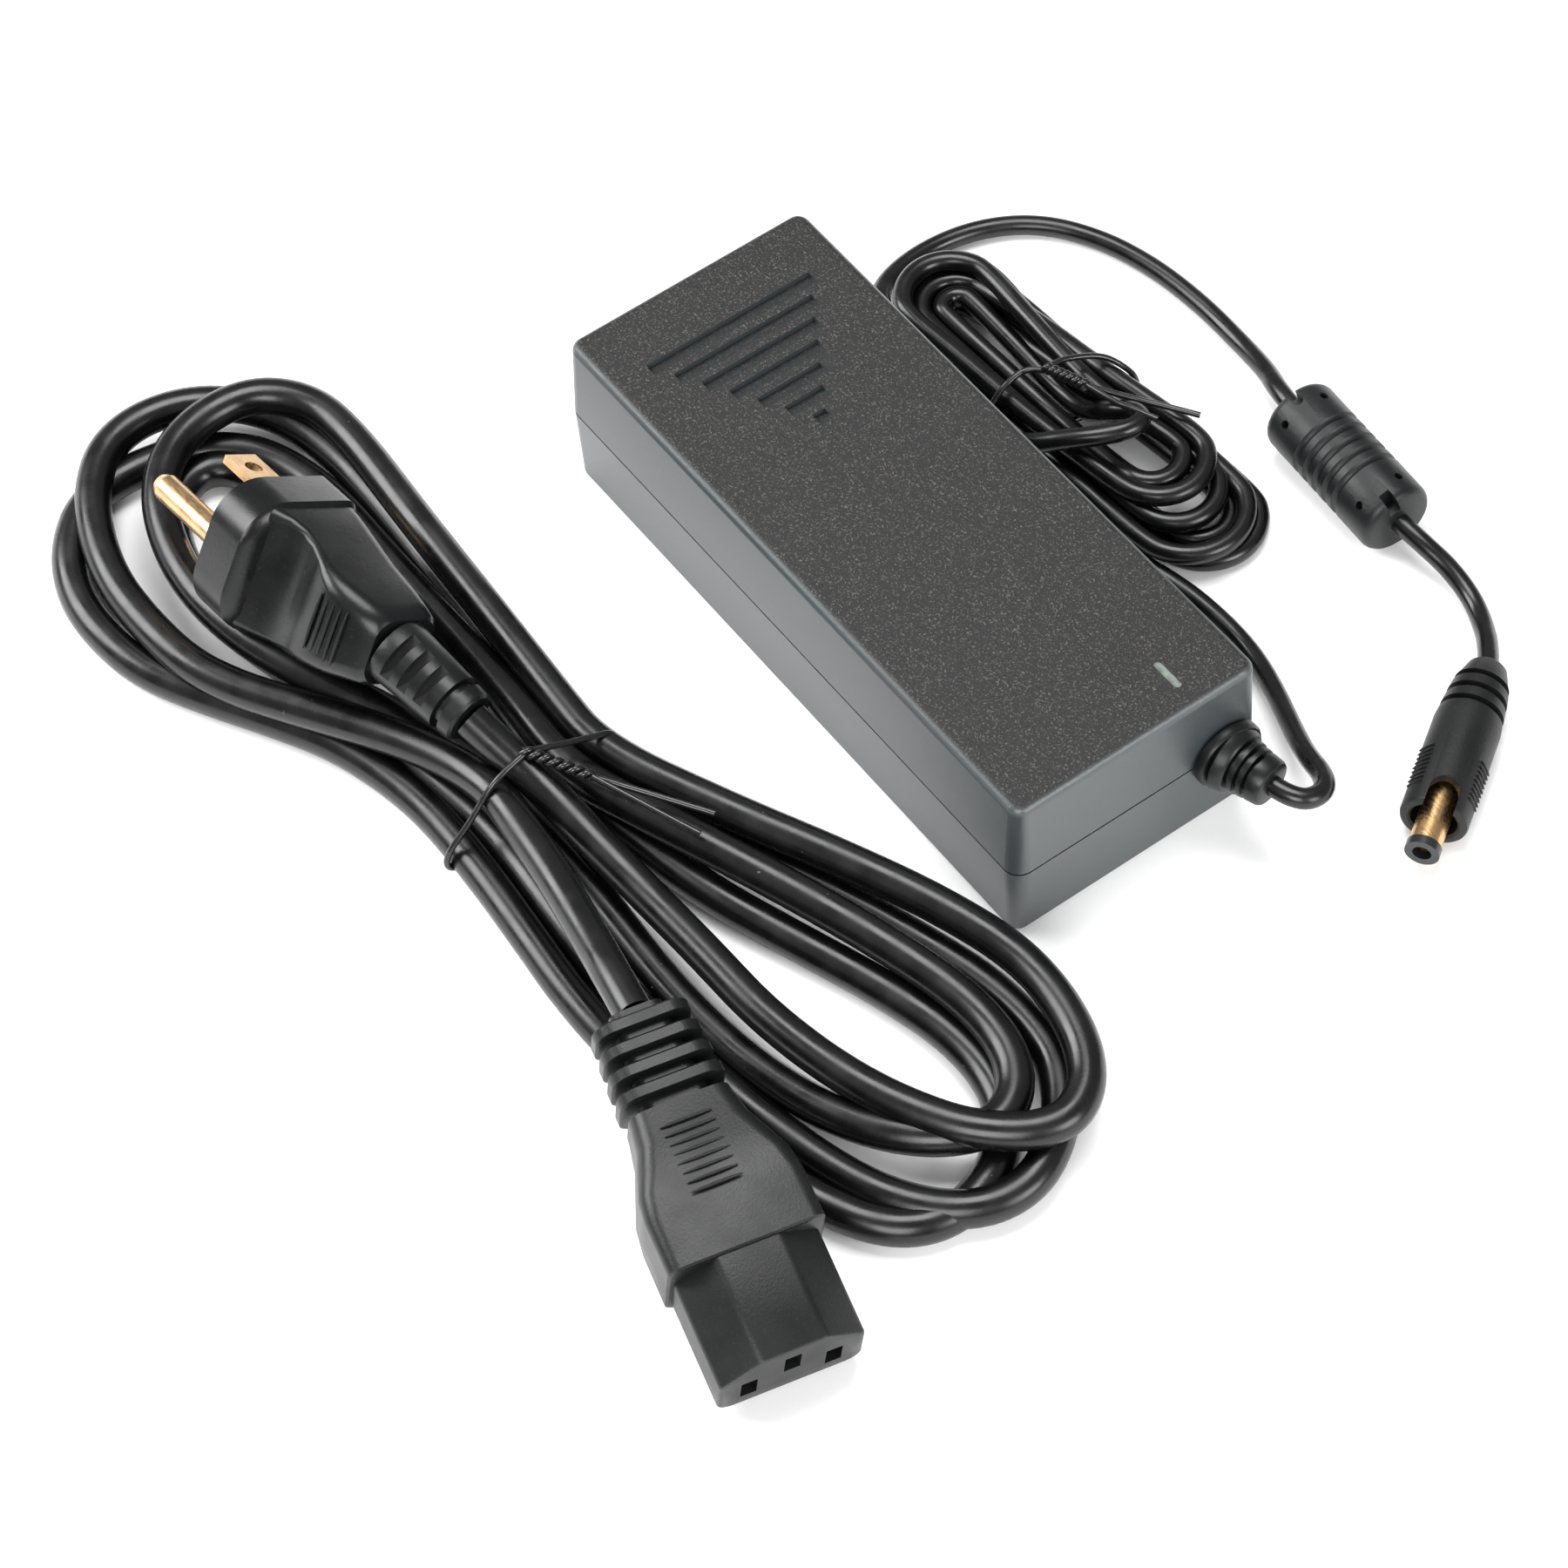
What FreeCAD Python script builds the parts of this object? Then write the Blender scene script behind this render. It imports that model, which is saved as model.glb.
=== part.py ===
import FreeCAD, Part
import math
import os
import re
import Sketcher
from FreeCAD import Placement, Rotation, Vector

# Laptop power adapter: a two-shell brick with its electronics, a fixed output cord with a
# ferrite bead and barrel plug, and a detachable mains cord set lying beside it.
# Frame: origin at the brick's bottom centre, +X towards the output cord, +Z up. Millimetres.

DIMENSIONS = {
    # brick
    "case_len": 124.0, "case_wide": 50.0, "case_high": 33.6, "split_high": 16.9,
    "split_gap": 0.36, "case_wall": 2.2, "case_corner": 3.0, "top_round": 1.6, "foot_round": 1.0,
    "top_draft": 2.0, "foot_draft": 2.6, "lip_thick": 1.0, "lip_high": 1.6,
    "groove_count": 7, "groove_pitch": 4.25, "groove_start": 49.0, "groove_long": 33.8,
    "groove_step": 5.2, "groove_deep": 1.1, "groove_wide": 2.7,
    "pipe_across": 54.0, "pipe_side": 11.7, "pipe_long": 6.4, "pipe_wide": 1.5, "pipe_deep": 20.0,
    "label_long": 84.0, "label_wide": 38.0, "label_thick": 0.3,
    # mains inlet, size 14
    "inlet_wide": 27.4, "inlet_high": 19.6, "inlet_deep": 21.0, "inlet_flange": 1.6,
    "cavity_wide": 24.6, "cavity_high": 16.6, "cavity_deep": 16.5, "cavity_chamfer": 5.0,
    "pin_spacing": 14.0, "pin_drop": 2.0, "pin_wide": 4.0, "pin_thick": 2.0, "pin_long": 15.0,
    "pin_tail": 5.5,
    # circuit board and its parts
    "board_low": 5.0, "board_thick": 1.6, "board_left": -38.0, "board_long": 95.0,
    "board_wide": 43.0, "post_rad": 2.5, "post_across": 40.0, "post_side": 15.0,
    "sheet_thick": 0.4,
    "can_rad": 9.0, "can_long": 23.0, "core_high": 22.0, "core_wide": 26.0, "core_thick": 11.0,
    "leg_wide": 6.0, "core_yoke": 3.6, "coil_long": 20.0, "choke_rad": 8.0, "choke_hole": 4.0,
    "choke_high": 6.0, "sink_thick": 2.0, "sink_high": 21.0, "sink_long": 34.0,
    "tab_thick": 4.5, "tab_wide": 10.0, "tab_high": 15.0, "out_can_rad": 5.0, "out_can_high": 19.0,
    # output strain relief
    "relief_side": 17.6, "relief_neck": 4.5, "relief_flange": 5.0, "relief_rim": 6.5,
    "relief_rim_thick": 2.4, "relief_tip": 3.4, "relief_long": 8.2,
    # cords
    "dc_rad": 1.8, "ac_rad": 3.2, "wire_rad": 0.8, "tie_rad": 0.6, "dc_coil_high": 10.8,
    "ac_coil_high": 12.8, "soft_gap": 0.4,
    # ferrite bead and barrel plug
    "bead_rad": 6.9, "bead_long": 29.4, "bead_core_rad": 5.2, "bead_core_long": 21.0,
    "bead_ring_deep": 0.5, "bead_ring_wide": 1.1,
    "plug_long": 33.0, "plug_neck": 4.2, "plug_rad": 5.8, "plug_cup": 4.0, "plug_cup_deep": 7.0,
    "barrel_rad": 2.75, "barrel_bore": 1.9, "barrel_long": 12.0, "barrel_tip": 1.6,
    "barrel_tip_rad": 2.95, "contact_rad": 0.5,
    # mains connector, size 13
    "conn_nose_wide": 24.0, "conn_nose_high": 16.0, "conn_nose_long": 18.0, "conn_wide": 26.0,
    "conn_high": 17.4, "conn_long": 45.0, "conn_neck_wide": 17.0, "conn_neck_high": 12.0,
    "conn_tail_wide": 15.0, "conn_tail_high": 11.0, "conn_tail_long": 17.0,
    "slot_wide": 2.6, "slot_high": 4.6, "slot_deep": 14.0,
    # wall plug, three pins
    "wall_wide": 25.0, "wall_tall": 23.0, "wall_block": 9.0, "wall_long": 36.0,
    "wall_neck_rad": 5.6, "wall_tail_rad": 4.7, "wall_tail_long": 18.2, "wall_neck_side": -0.5,
    "blade_wide": 6.35, "blade_thick": 1.5, "blade_long": 16.0, "blade_hole": 1.6,
    "blade_spacing": 12.7, "ground_rad": 2.4, "ground_long": 19.5, "ground_drop": 11.9,
    "ground_step": 0.4,
    "shank_deep": 8.0,
}

doc = FreeCAD.newDocument("power_adapter")
dims = doc.addObject("Spreadsheet::Sheet", "dims")
for row, (alias, value) in enumerate(DIMENSIONS.items(), start=1):
    dims.set("A%d" % row, alias.replace("_", " "))
    dims.set("B%d" % row, str(value))
    dims.setAlias("B%d" % row, alias)
doc.recompute()

nodes = []


def size(name):
    """Read one driving dimension from the sheet."""
    return float(dims.get(name))


def formula(text):
    """Write a formula with the sheet's name in front of each dimension."""
    return re.sub(r"[a-z][a-z_]*", lambda word: "dims." + word[0] if word[0] in DIMENSIONS else word[0],
                  str(text))


def measure(item, text):
    """The present value of a formula."""
    return float(item.evalExpression(formula(text)))


def bind(item, **formulas):
    """Bind an object's sizes to formulas over the sheet."""
    for name, text in formulas.items():
        item.setExpression(name.replace("__", "."), formula(text))


def keep(name, item):
    """Register a finished sub-part under its node name."""
    item.Label = name
    nodes.append(item)
    return item


def put(item, spot, turn=None, place=None):
    """Place an object at a spot given as three formulas, turned if asked, or in a placed frame."""
    if place is not None:
        item.Placement = place.multiply(Placement(Vector(*(measure(item, text) for text in spot)),
                                                  Rotation()))
        return item
    if turn is not None:
        item.Placement = Placement(Vector(), turn)
    bind(item, Placement__Base__x=spot[0], Placement__Base__y=spot[1], Placement__Base__z=spot[2])
    return item


def box(name, spot, sides, place=None):
    """A box with its lowest corner at the spot."""
    item = doc.addObject("Part::Box", name)
    bind(item, Length=sides[0], Width=sides[1], Height=sides[2])
    return put(item, spot, place=place)


def rod(name, spot, radius, length, turn=None):
    """A cylinder that stands on the spot, or lies along the turned axis."""
    item = doc.addObject("Part::Cylinder", name)
    bind(item, Radius=radius, Height=length)
    return put(item, spot, turn)


def cone(name, spot, radius_a, radius_b, length, turn=None, place=None):
    """A cone frustum from one radius to the other."""
    item = doc.addObject("Part::Cone", name)
    bind(item, Radius1=radius_a, Radius2=radius_b, Height=length)
    return put(item, spot, turn, place)


def join(name, *items):
    """Fuse objects into one."""
    item = doc.addObject("Part::MultiFuse", name)
    item.Shapes = list(items)
    return item


def carve(name, base, *tools):
    """Take the tools away from the base."""
    item = doc.addObject("Part::Cut", name)
    item.Base = base
    item.Tool = tools[0] if len(tools) == 1 else join(name + "_tools", *tools)
    return item


def group(name, *items):
    """Several separate solids in one node."""
    item = doc.addObject("Part::Compound", name)
    item.Links = list(items)
    return item


ALONG_X = Rotation(Vector(0, 1, 0), 90)
ALONG_Y = Rotation(Vector(1, 0, 0), -90)


def origin_plane(body, role):
    """One of a body's own origin planes."""
    return next(plane for plane in body.Origin.OriginFeatures if plane.Role == role)


def new_sketch(body, name, role, offset="0", across="0", up="0"):
    """An empty sketch on an origin plane, moved by formulas."""
    sketch = body.newObject("Sketcher::SketchObject", name)
    sketch.AttachmentSupport = (origin_plane(body, role), [""])
    sketch.MapMode = "FlatFace"
    bind(sketch, AttachmentOffset__Base__x=across, AttachmentOffset__Base__y=up,
         AttachmentOffset__Base__z=offset)
    return sketch


def rectangle(sketch, wide, high, corner=None):
    """A centred rectangle, its corners rounded if a radius formula is given."""
    round_off = measure(sketch, corner) if corner else 0.0
    half_wide = measure(sketch, wide) / 2 - round_off
    half_high = measure(sketch, high) / 2 - round_off
    centres = [(half_wide, half_high), (-half_wide, half_high), (-half_wide, -half_high),
               (half_wide, -half_high)]
    first = sketch.GeometryCount
    if corner:
        for index, (x, y) in enumerate(centres):
            ring = Part.Circle(Vector(x, y, 0), Vector(0, 0, 1), round_off)
            sketch.addGeometry(Part.ArcOfCircle(ring, index * math.pi / 2, (index + 1) * math.pi / 2),
                               False)
        arcs = [sketch.Geometry[first + index] for index in range(4)]
        for index in range(4):
            side = Part.LineSegment(arcs[index].EndPoint, arcs[(index + 1) % 4].StartPoint)
            sketch.addGeometry(side, False)
        for index in range(4):
            line = first + 4 + index
            sketch.addConstraint(Sketcher.Constraint("Tangent", first + index, 2, line, 1))
            sketch.addConstraint(Sketcher.Constraint("Tangent", line, 2, first + (index + 1) % 4, 1))
        for index in range(1, 4):
            sketch.addConstraint(Sketcher.Constraint("Equal", first, first + index))
        sketch.addConstraint(Sketcher.Constraint("Horizontal", first + 4))
        sketch.addConstraint(Sketcher.Constraint("Vertical", first + 5))
        ends = ((first, 3), (first + 2, 3))
        radius = sketch.addConstraint(Sketcher.Constraint("Radius", first, round_off))
        sketch.setExpression("Constraints[%d]" % radius, formula(corner))
    else:
        for index, here in enumerate(centres):
            there = centres[(index + 1) % 4]
            sketch.addGeometry(Part.LineSegment(Vector(*here, 0), Vector(*there, 0)), False)
        for index in range(4):
            following = first + (index + 1) % 4
            sketch.addConstraint(Sketcher.Constraint("Coincident", first + index, 2, following, 1))
        for index, kind in enumerate(("Horizontal", "Vertical", "Horizontal", "Vertical")):
            sketch.addConstraint(Sketcher.Constraint(kind, first + index))
        ends = ((first, 1), (first + 2, 1))
    sketch.addConstraint(Sketcher.Constraint("Symmetric", *ends[1], *ends[0], -1, 1))
    trim = " - 2 * (%s)" % corner if corner else ""
    for kind, text, value in (("DistanceX", wide, 2 * half_wide), ("DistanceY", high, 2 * half_high)):
        index = sketch.addConstraint(Sketcher.Constraint(kind, *ends[1], *ends[0], value))
        sketch.setExpression("Constraints[%d]" % index, formula(text + trim))


def circle(sketch, radius):
    """A circle about the sketch's origin."""
    start = measure(sketch, radius)
    item = sketch.addGeometry(Part.Circle(Vector(0, 0, 0), Vector(0, 0, 1), start), False)
    sketch.addConstraint(Sketcher.Constraint("Coincident", item, 3, -1, 1))
    index = sketch.addConstraint(Sketcher.Constraint("Radius", item, start))
    sketch.setExpression("Constraints[%d]" % index, formula(radius))


def outline(sketch, spots):
    """A closed outline of straight edges through spots given as pairs of formulas."""
    starts = [(measure(sketch, x), measure(sketch, y)) for x, y in spots]
    for index, here in enumerate(starts):
        there = starts[(index + 1) % len(spots)]
        sketch.addGeometry(Part.LineSegment(Vector(*here, 0), Vector(*there, 0)), False)
    for index in range(len(spots)):
        sketch.addConstraint(Sketcher.Constraint("Coincident", index, 2, (index + 1) % len(spots), 1))
    for index, spot in enumerate(spots):
        for axis, kind in enumerate(("DistanceX", "DistanceY")):
            if abs(starts[index][axis]) < 1e-6:
                on_axis = Sketcher.Constraint("PointOnObject", index, 1, -2 + axis)
                sketch.addConstraint(on_axis)
                continue
            distance = sketch.addConstraint(Sketcher.Constraint(kind, -1, 1, index, 1, starts[index][axis]))
            sketch.setExpression("Constraints[%d]" % distance, formula(spot[axis]))


def pad(body, name, sketch, length, **settings):
    """Pad a sketch by a formula."""
    item = body.newObject("PartDesign::Pad", name)
    item.Profile = sketch
    bind(item, Length=length)
    for key, value in settings.items():
        setattr(item, key, value)
    return item


def pocket(body, name, sketch, length, **settings):
    """Pocket a sketch by a formula."""
    item = body.newObject("PartDesign::Pocket", name)
    item.Profile = sketch
    bind(item, Length=length)
    for key, value in settings.items():
        setattr(item, key, value)
    return item


def revolve(body, name, sketch, subtract=False):
    """Turn a profile about the sketch's horizontal axis."""
    item = body.newObject("PartDesign::Groove" if subtract else "PartDesign::Revolution", name)
    item.Profile = sketch
    item.ReferenceAxis = (sketch, ["H_Axis"])
    item.Angle = 360
    return item


def loft(body, name, sections):
    """Loft through section sketches."""
    item = body.newObject("PartDesign::AdditiveLoft", name)
    item.Profile = sections[0]
    item.Sections = sections[1:]
    return item


def round_edges(body, name, base, radius, wanted):
    """Fillet the edges of a feature that a test picks."""
    doc.recompute()
    edges = ["Edge%d" % (index + 1) for index, edge in enumerate(base.Shape.Edges) if wanted(edge)]
    item = body.newObject("PartDesign::Fillet", name)
    item.Base = (base, edges)
    bind(item, Radius=radius)
    doc.recompute()
    return item


def at_height(height):
    """A test for edges that lie at one height."""
    return lambda edge: (abs(edge.BoundBox.ZMin - height) < 0.01 and abs(edge.BoundBox.ZMax - height) < 0.01)


# ---------------------------------------------------------------- shells

def make_shell(name, is_upper):
    """One half of the case: a drafted rounded shell with its lip, cut-outs and openings."""
    body = doc.addObject("PartDesign::Body", name)
    sign = "" if is_upper else "-"
    start = "split_high + split_gap / 2" if is_upper else "split_high - split_gap / 2"
    rise = "case_high - split_high - split_gap / 2" if is_upper else "split_high - split_gap / 2"
    plan = new_sketch(body, name + "_plan", "XY_Plane", start)
    rectangle(plan, "case_len", "case_wide", "case_corner")
    block = pad(body, name + "_block", plan, rise, Reversed=not is_upper)
    bind(block, TaperAngle="-top_draft" if is_upper else "-foot_draft")
    flat_end = size("case_high") if is_upper else 0.0
    block = round_edges(body, name + "_round", block, "top_round" if is_upper else "foot_round",
                        at_height(flat_end))
    hollow = new_sketch(body, name + "_hollow", "XY_Plane", start)
    rectangle(hollow, "case_len - 2 * case_wall", "case_wide - 2 * case_wall", "1.2")
    pocket(body, name + "_cavity", hollow, rise + " - case_wall", Reversed=is_upper)
    ring = new_sketch(body, name + "_lip_plan", "XY_Plane", start)
    rectangle(ring, "case_len - 2 * case_wall + 2 * lip_thick",
              "case_wide - 2 * case_wall + 2 * lip_thick", "1.8")
    if is_upper:
        pocket(body, "upper_rebate", ring, "lip_high", Reversed=True)
    else:
        rectangle(ring, "case_len - 2 * case_wall", "case_wide - 2 * case_wall", "1.2")
        pad(body, "lower_lip", ring, "lip_high + split_gap")
    gland = new_sketch(body, name + "_gland", "YZ_Plane", "case_len / 2 - case_wall - 1.2", "relief_side",
                       "split_high")
    circle(gland, "relief_neck")
    pocket(body, name + "_gland_hole", gland, "6", Reversed=True)
    inlet = new_sketch(body, name + "_inlet", "YZ_Plane", "-case_len / 2 + case_wall + 1.2", "0",
                       "split_high")
    rectangle(inlet, "inlet_wide", "inlet_high")
    pocket(body, name + "_inlet_hole", inlet, "6")
    if is_upper:
        slot = new_sketch(body, "pipe_slot_plan", "XY_Plane", "case_high", "pipe_across", "pipe_side")
        rectangle(slot, "pipe_long", "pipe_wide", "pipe_wide / 2 - 0.02")
        pocket(body, "pipe_slot", slot, "4")
        for index in range(int(size("groove_count"))):
            cut = new_sketch(body, "groove_%d_profile" % index, "XZ_Plane")
            near = "%d * groove_pitch - groove_start" % index
            outline(cut, [(near, "case_high - groove_deep"), (near + " + groove_wide", "case_high + 0.01"),
                          (near, "case_high + 0.01")])
            pocket(body, "groove_%d" % index, cut, "groove_long - %d * groove_step" % index, Midplane=True)
    else:
        recess = new_sketch(body, "label_recess_plan", "XY_Plane")
        rectangle(recess, "label_long", "label_wide", "2.0")
        pocket(body, "label_recess", recess, "label_thick", Reversed=True)
        for side_x in (-1, 1):
            for side_y in (-1, 1):
                post = new_sketch(body, "post_plan", "XY_Plane", "case_wall - 0.2",
                                  "%d * post_across" % side_x if side_x > 0 else "-post_across + 8",
                                  "%d * post_side" % side_y)
                circle(post, "post_rad")
                pad(body, "board_post", post, "board_low - case_wall + 0.2")
    doc.recompute()
    print(name, "volume", round(body.Shape.Volume, 1), "box", body.Shape.BoundBox)
    return keep(name, body)


make_shell("upper_shell", True)
make_shell("lower_shell", False)

label_body = doc.addObject("PartDesign::Body", "rating_label")
label_plan = new_sketch(label_body, "label_plan", "XY_Plane")
rectangle(label_plan, "label_long", "label_wide", "2.0")
pad(label_body, "label_pad", label_plan, "label_thick")
keep("rating_label", label_body)

pipe_body = doc.addObject("PartDesign::Body", "light_pipe")
pipe_plan = new_sketch(pipe_body, "pipe_plan", "XY_Plane", "case_high - 0.35", "pipe_across", "pipe_side")
rectangle(pipe_plan, "pipe_long", "pipe_wide", "pipe_wide / 2 - 0.02")
pad(pipe_body, "pipe_head", pipe_plan, "pipe_deep", Reversed=True)
keep("light_pipe", pipe_body)

# ---------------------------------------------------------------- mains inlet

inlet_outer = box("inlet_outer", ("-case_len / 2", "-inlet_wide / 2", "split_high - inlet_high / 2"),
                  ("inlet_deep", "inlet_wide", "inlet_high"))
inlet_lip = box("inlet_lip",
                ("-case_len / 2 + case_wall", "-inlet_wide / 2 - 2", "split_high - inlet_high / 2 - 2"),
                ("inlet_flange", "inlet_wide + 4", "inlet_high + 4"))
inlet_cavity = doc.addObject("PartDesign::Body", "inlet_cavity")
cavity_face = new_sketch(inlet_cavity, "cavity_face", "YZ_Plane", "-case_len / 2 - 1")
outline(cavity_face, [("-cavity_wide / 2", "split_high - cavity_high / 2"),
                      ("cavity_wide / 2", "split_high - cavity_high / 2"),
                      ("cavity_wide / 2", "split_high + cavity_high / 2 - cavity_chamfer"),
                      ("cavity_wide / 2 - cavity_chamfer", "split_high + cavity_high / 2"),
                      ("cavity_chamfer - cavity_wide / 2", "split_high + cavity_high / 2"),
                      ("-cavity_wide / 2", "split_high + cavity_high / 2 - cavity_chamfer")])
pad(inlet_cavity, "cavity_pad", cavity_face, "cavity_deep + 1")
INLET_PINS = (("live", "-pin_spacing / 2", "-pin_drop"), ("neutral", "pin_spacing / 2", "-pin_drop"),
              ("earth", "0", "pin_drop"))


def inlet_pin(name, across, up):
    """One flat pin, standing in the back wall of the inlet."""
    return box(name, ("-case_len / 2 + cavity_deep - pin_long", across + " - pin_thick / 2",
                      "split_high + %s - pin_wide / 2" % up),
               ("pin_long + pin_tail + 4.5", "pin_thick", "pin_wide"))


pin_slots = [inlet_pin("inlet_slot_" + name, across, up) for name, across, up in INLET_PINS]
keep("inlet_housing",
     carve("inlet_housing", join("inlet_block", inlet_outer, inlet_lip), inlet_cavity, *pin_slots))
for name, across, up in INLET_PINS:
    keep("inlet_pin_" + name, inlet_pin("inlet_pin_" + name, across, up))

# ---------------------------------------------------------------- circuit board and parts

TOP = "board_low + board_thick"
keep("insulating_sheet",
     box("insulating_sheet", ("board_left + 11", "-12", "case_wall"), ("58", "24", "sheet_thick")))
keep("circuit_board", box("circuit_board", ("board_left", "-board_wide / 2", "board_low"),
                          ("board_long", "board_wide", "board_thick")))
keep("fuse", rod("fuse", ("-34", "-17", TOP), "3.2", "8"))
keep("varistor", rod("varistor", ("-33.5", "12", TOP + " + 5"), "4.5", "4", ALONG_Y))
keep("x_capacitor", box("x_capacitor", ("-35", "-9", TOP), ("8", "16", "13")))

choke_spot = ("-18", "11", TOP + " + 1.5")
choke_turns_spot = ("-18", "11", TOP)
keep("choke_core", carve("choke_core", rod("choke_rim", choke_spot, "choke_rad", "choke_high"),
                         rod("choke_eye", choke_spot, "choke_hole", "choke_high")))
keep("choke_winding",
     carve("choke_winding", rod("turns_rim", choke_turns_spot, "choke_rad + 1.5", "choke_high + 3"),
                    rod("turns_eye", choke_turns_spot, "choke_hole - 1.5", "choke_high + 3"),
                    rod("turns_core", choke_spot, "choke_rad", "choke_high"),
                    box("turns_split", ("-18 - 12", "11 - 3", TOP), ("24", "6", "12"))))

keep("bridge_rectifier", box("bridge_rectifier", ("-26", "-20", TOP), ("4", "18", "13")))
keep("bulk_capacitor",
     rod("bulk_capacitor", ("-20", "-11.5", TOP + " + can_rad"), "can_rad", "can_long", ALONG_X))

core_x = "8"
core_low = TOP + " + 1"
core_block = box("core_block", (core_x + " - core_thick / 2 + 6", "-core_wide / 2 + 1", core_low),
                 ("core_thick", "core_wide", "core_high"))
windows = []
for side, low in (("left", "-core_wide / 2 + 1 + core_yoke"), ("right", "1 + leg_wide / 2")):
    windows.append(box("core_window_" + side,
                       (core_x + " - core_thick / 2 + 5", low, core_low + " + core_yoke"),
                       ("core_thick + 2", "(core_wide - leg_wide) / 2 - core_yoke",
                        "core_high - 2 * core_yoke")))
keep("transformer_core", carve("transformer_core", core_block, *windows))
coil_block = box("coil_block",
                 (core_x + " - coil_long / 2 + 6", "-core_wide / 2 + 1 + core_yoke",
                  core_low + " + core_yoke"),
                 ("coil_long", "core_wide - 2 * core_yoke", "core_high - 2 * core_yoke"))
coil_eye = box("coil_eye", (core_x + " - coil_long / 2 + 5", "1 - leg_wide / 2", core_low + " + core_yoke"),
               ("coil_long + 2", "leg_wide", "core_high - 2 * core_yoke"))
bobbin_block = box("bobbin_block",
                   (core_x + " - coil_long / 2 + 6", "1 - leg_wide / 2", core_low + " + core_yoke"),
                   ("(coil_long - core_thick) / 2", "leg_wide", "core_high - 2 * core_yoke"))
keep("transformer_winding", carve("transformer_winding", coil_block, coil_eye))
keep("transformer_bobbin", bobbin_block)

keep("primary_heatsink", box("primary_heatsink", ("-14", "-board_wide / 2 - 0.1", TOP),
                             ("sink_long + 10", "1", "sink_high")))
keep("secondary_heatsink",
     box("secondary_heatsink", ("26", "5", TOP), ("sink_long * 0.6", "sink_thick", "sink_high")))
keep("switching_transistor", box("switching_transistor", ("18", "-board_wide / 2 + 0.9", TOP + " + 3"),
                                 ("tab_wide", "tab_thick", "tab_high")))
keep("output_rectifier", box("output_rectifier", ("31", "5 - tab_thick", TOP + " + 3"),
                             ("tab_wide", "tab_thick", "tab_high")))
screw_one = rod("screw_one", ("23", "-board_wide / 2 + 0.9 + tab_thick", TOP + " + 15"), "2.6", "1.6",
                ALONG_Y)
screw_two = rod("screw_two", ("36", "5 - tab_thick - 1.6", TOP + " + 15"), "2.6", "1.6", ALONG_Y)
keep("heatsink_screws", group("heatsink_screws", screw_one, screw_two))
for index, across in enumerate(("35", "47")):
    name = "output_capacitor_%d" % (index + 1)
    keep(name, rod(name, (across, "-14", TOP), "out_can_rad", "out_can_high"))
keep("output_choke", carve("output_choke", rod("output_choke_rim", ("36", "14", TOP), "6", "9"),
                           rod("output_choke_eye", ("36", "14", TOP), "2.2", "9")))
keep("y_capacitors",
     group("y_capacitors", rod("y_capacitor_one", ("-6", "19", TOP + " + 4"), "4", "2", ALONG_Y),
                           rod("y_capacitor_two", ("6", "19", TOP + " + 4"), "4", "2", ALONG_Y)))
keep("optocoupler", box("optocoupler", ("50.5", "-3", TOP), ("4.6", "6.4", "3.5")))
keep("control_chip", box("control_chip", ("50", "-20", "board_low - 1.5"), ("5", "4", "1.5")))
keep("status_led",
     rod("status_led", ("pipe_across", "pipe_side", TOP), "1.5",
         "case_high - 0.35 - pipe_deep - board_low - board_thick"))

# ---------------------------------------------------------------- tubes, ties and hanks

def tube(name, points, radius):
    """A round cord: straight runs joined by tangent arcs as large as the runs allow."""
    spots = [Vector(*point) for point in points]
    edges = []
    radii = []
    here = spots[0]
    for index in range(1, len(spots) - 1):
        before, corner, after = spots[index - 1], spots[index], spots[index + 1]
        into = (corner - before).normalize()
        out = (after - corner).normalize()
        turn = into.getAngle(out)
        reach = 0.45 * min(corner.distanceToPoint(before), corner.distanceToPoint(after))
        radii.append(reach / math.tan(turn / 2))
        enter = corner - into * reach
        leave = corner + out * reach
        bulge = (out - into).normalize()
        middle = corner + bulge * (radii[-1] / math.cos(turn / 2) - radii[-1])
        edges.append(Part.LineSegment(here, enter).toShape())
        edges.append(Part.Arc(enter, middle, leave).toShape())
        here = leave
    edges.append(Part.LineSegment(here, spots[-1]).toShape())
    path = Part.Wire(edges)
    start = (spots[1] - spots[0]).normalize()
    section = Part.Wire([Part.makeCircle(radius, spots[0], start)])
    solid = path.makePipeShell([section], True, False)
    ratio = solid.Volume / (math.pi * radius ** 2 * path.Length)
    print(name, "length", round(path.Length, 1), "volume ratio", round(ratio, 4), "radii",
          [round(item, 1) for item in radii])
    return solid


def feature(name, shape, place=None):
    """A sub-part whose shape is made directly."""
    item = doc.addObject("Part::Feature", name)
    item.Shape = shape
    if place is not None:
        item.Placement = place
    return item


def smooth_plate(spots, high):
    """A flat plate of a closed smooth outline through the spots."""
    curve = Part.BSplineCurve()
    curve.interpolate([Vector(x, y, 0) for x, y in spots], PeriodicFlag=True)
    return Part.Face(Part.Wire([curve.toShape()])).extrude(Vector(0, 0, high))


def twist_tie(name, loop, knot, tails):
    """A wire wound round a bundle, its ends twisted into a knot with free tails."""
    wire = size("tie_rad")
    around = tube(name + "_loop", loop, wire)
    start, end = (Vector(*spot) for spot in knot)
    twist = Part.makeCylinder(1.9 * wire, start.distanceToPoint(end), start, end - start)
    shape = around.fuse([twist] + [tube(name + "_tail", tail, wire) for tail in tails])
    return keep(name, feature(name, shape))


def cord(name, points, radius):
    """A cord tube kept as a node of its own."""
    return keep(name, feature(name, tube(name, points, size(radius))))


def oriented_box(place, low, high):
    """A box between two corners given in a placed frame."""
    block = Part.makeBox(high[0] - low[0], high[1] - low[1], high[2] - low[2], Vector(*low))
    block.Placement = place
    return block


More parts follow.
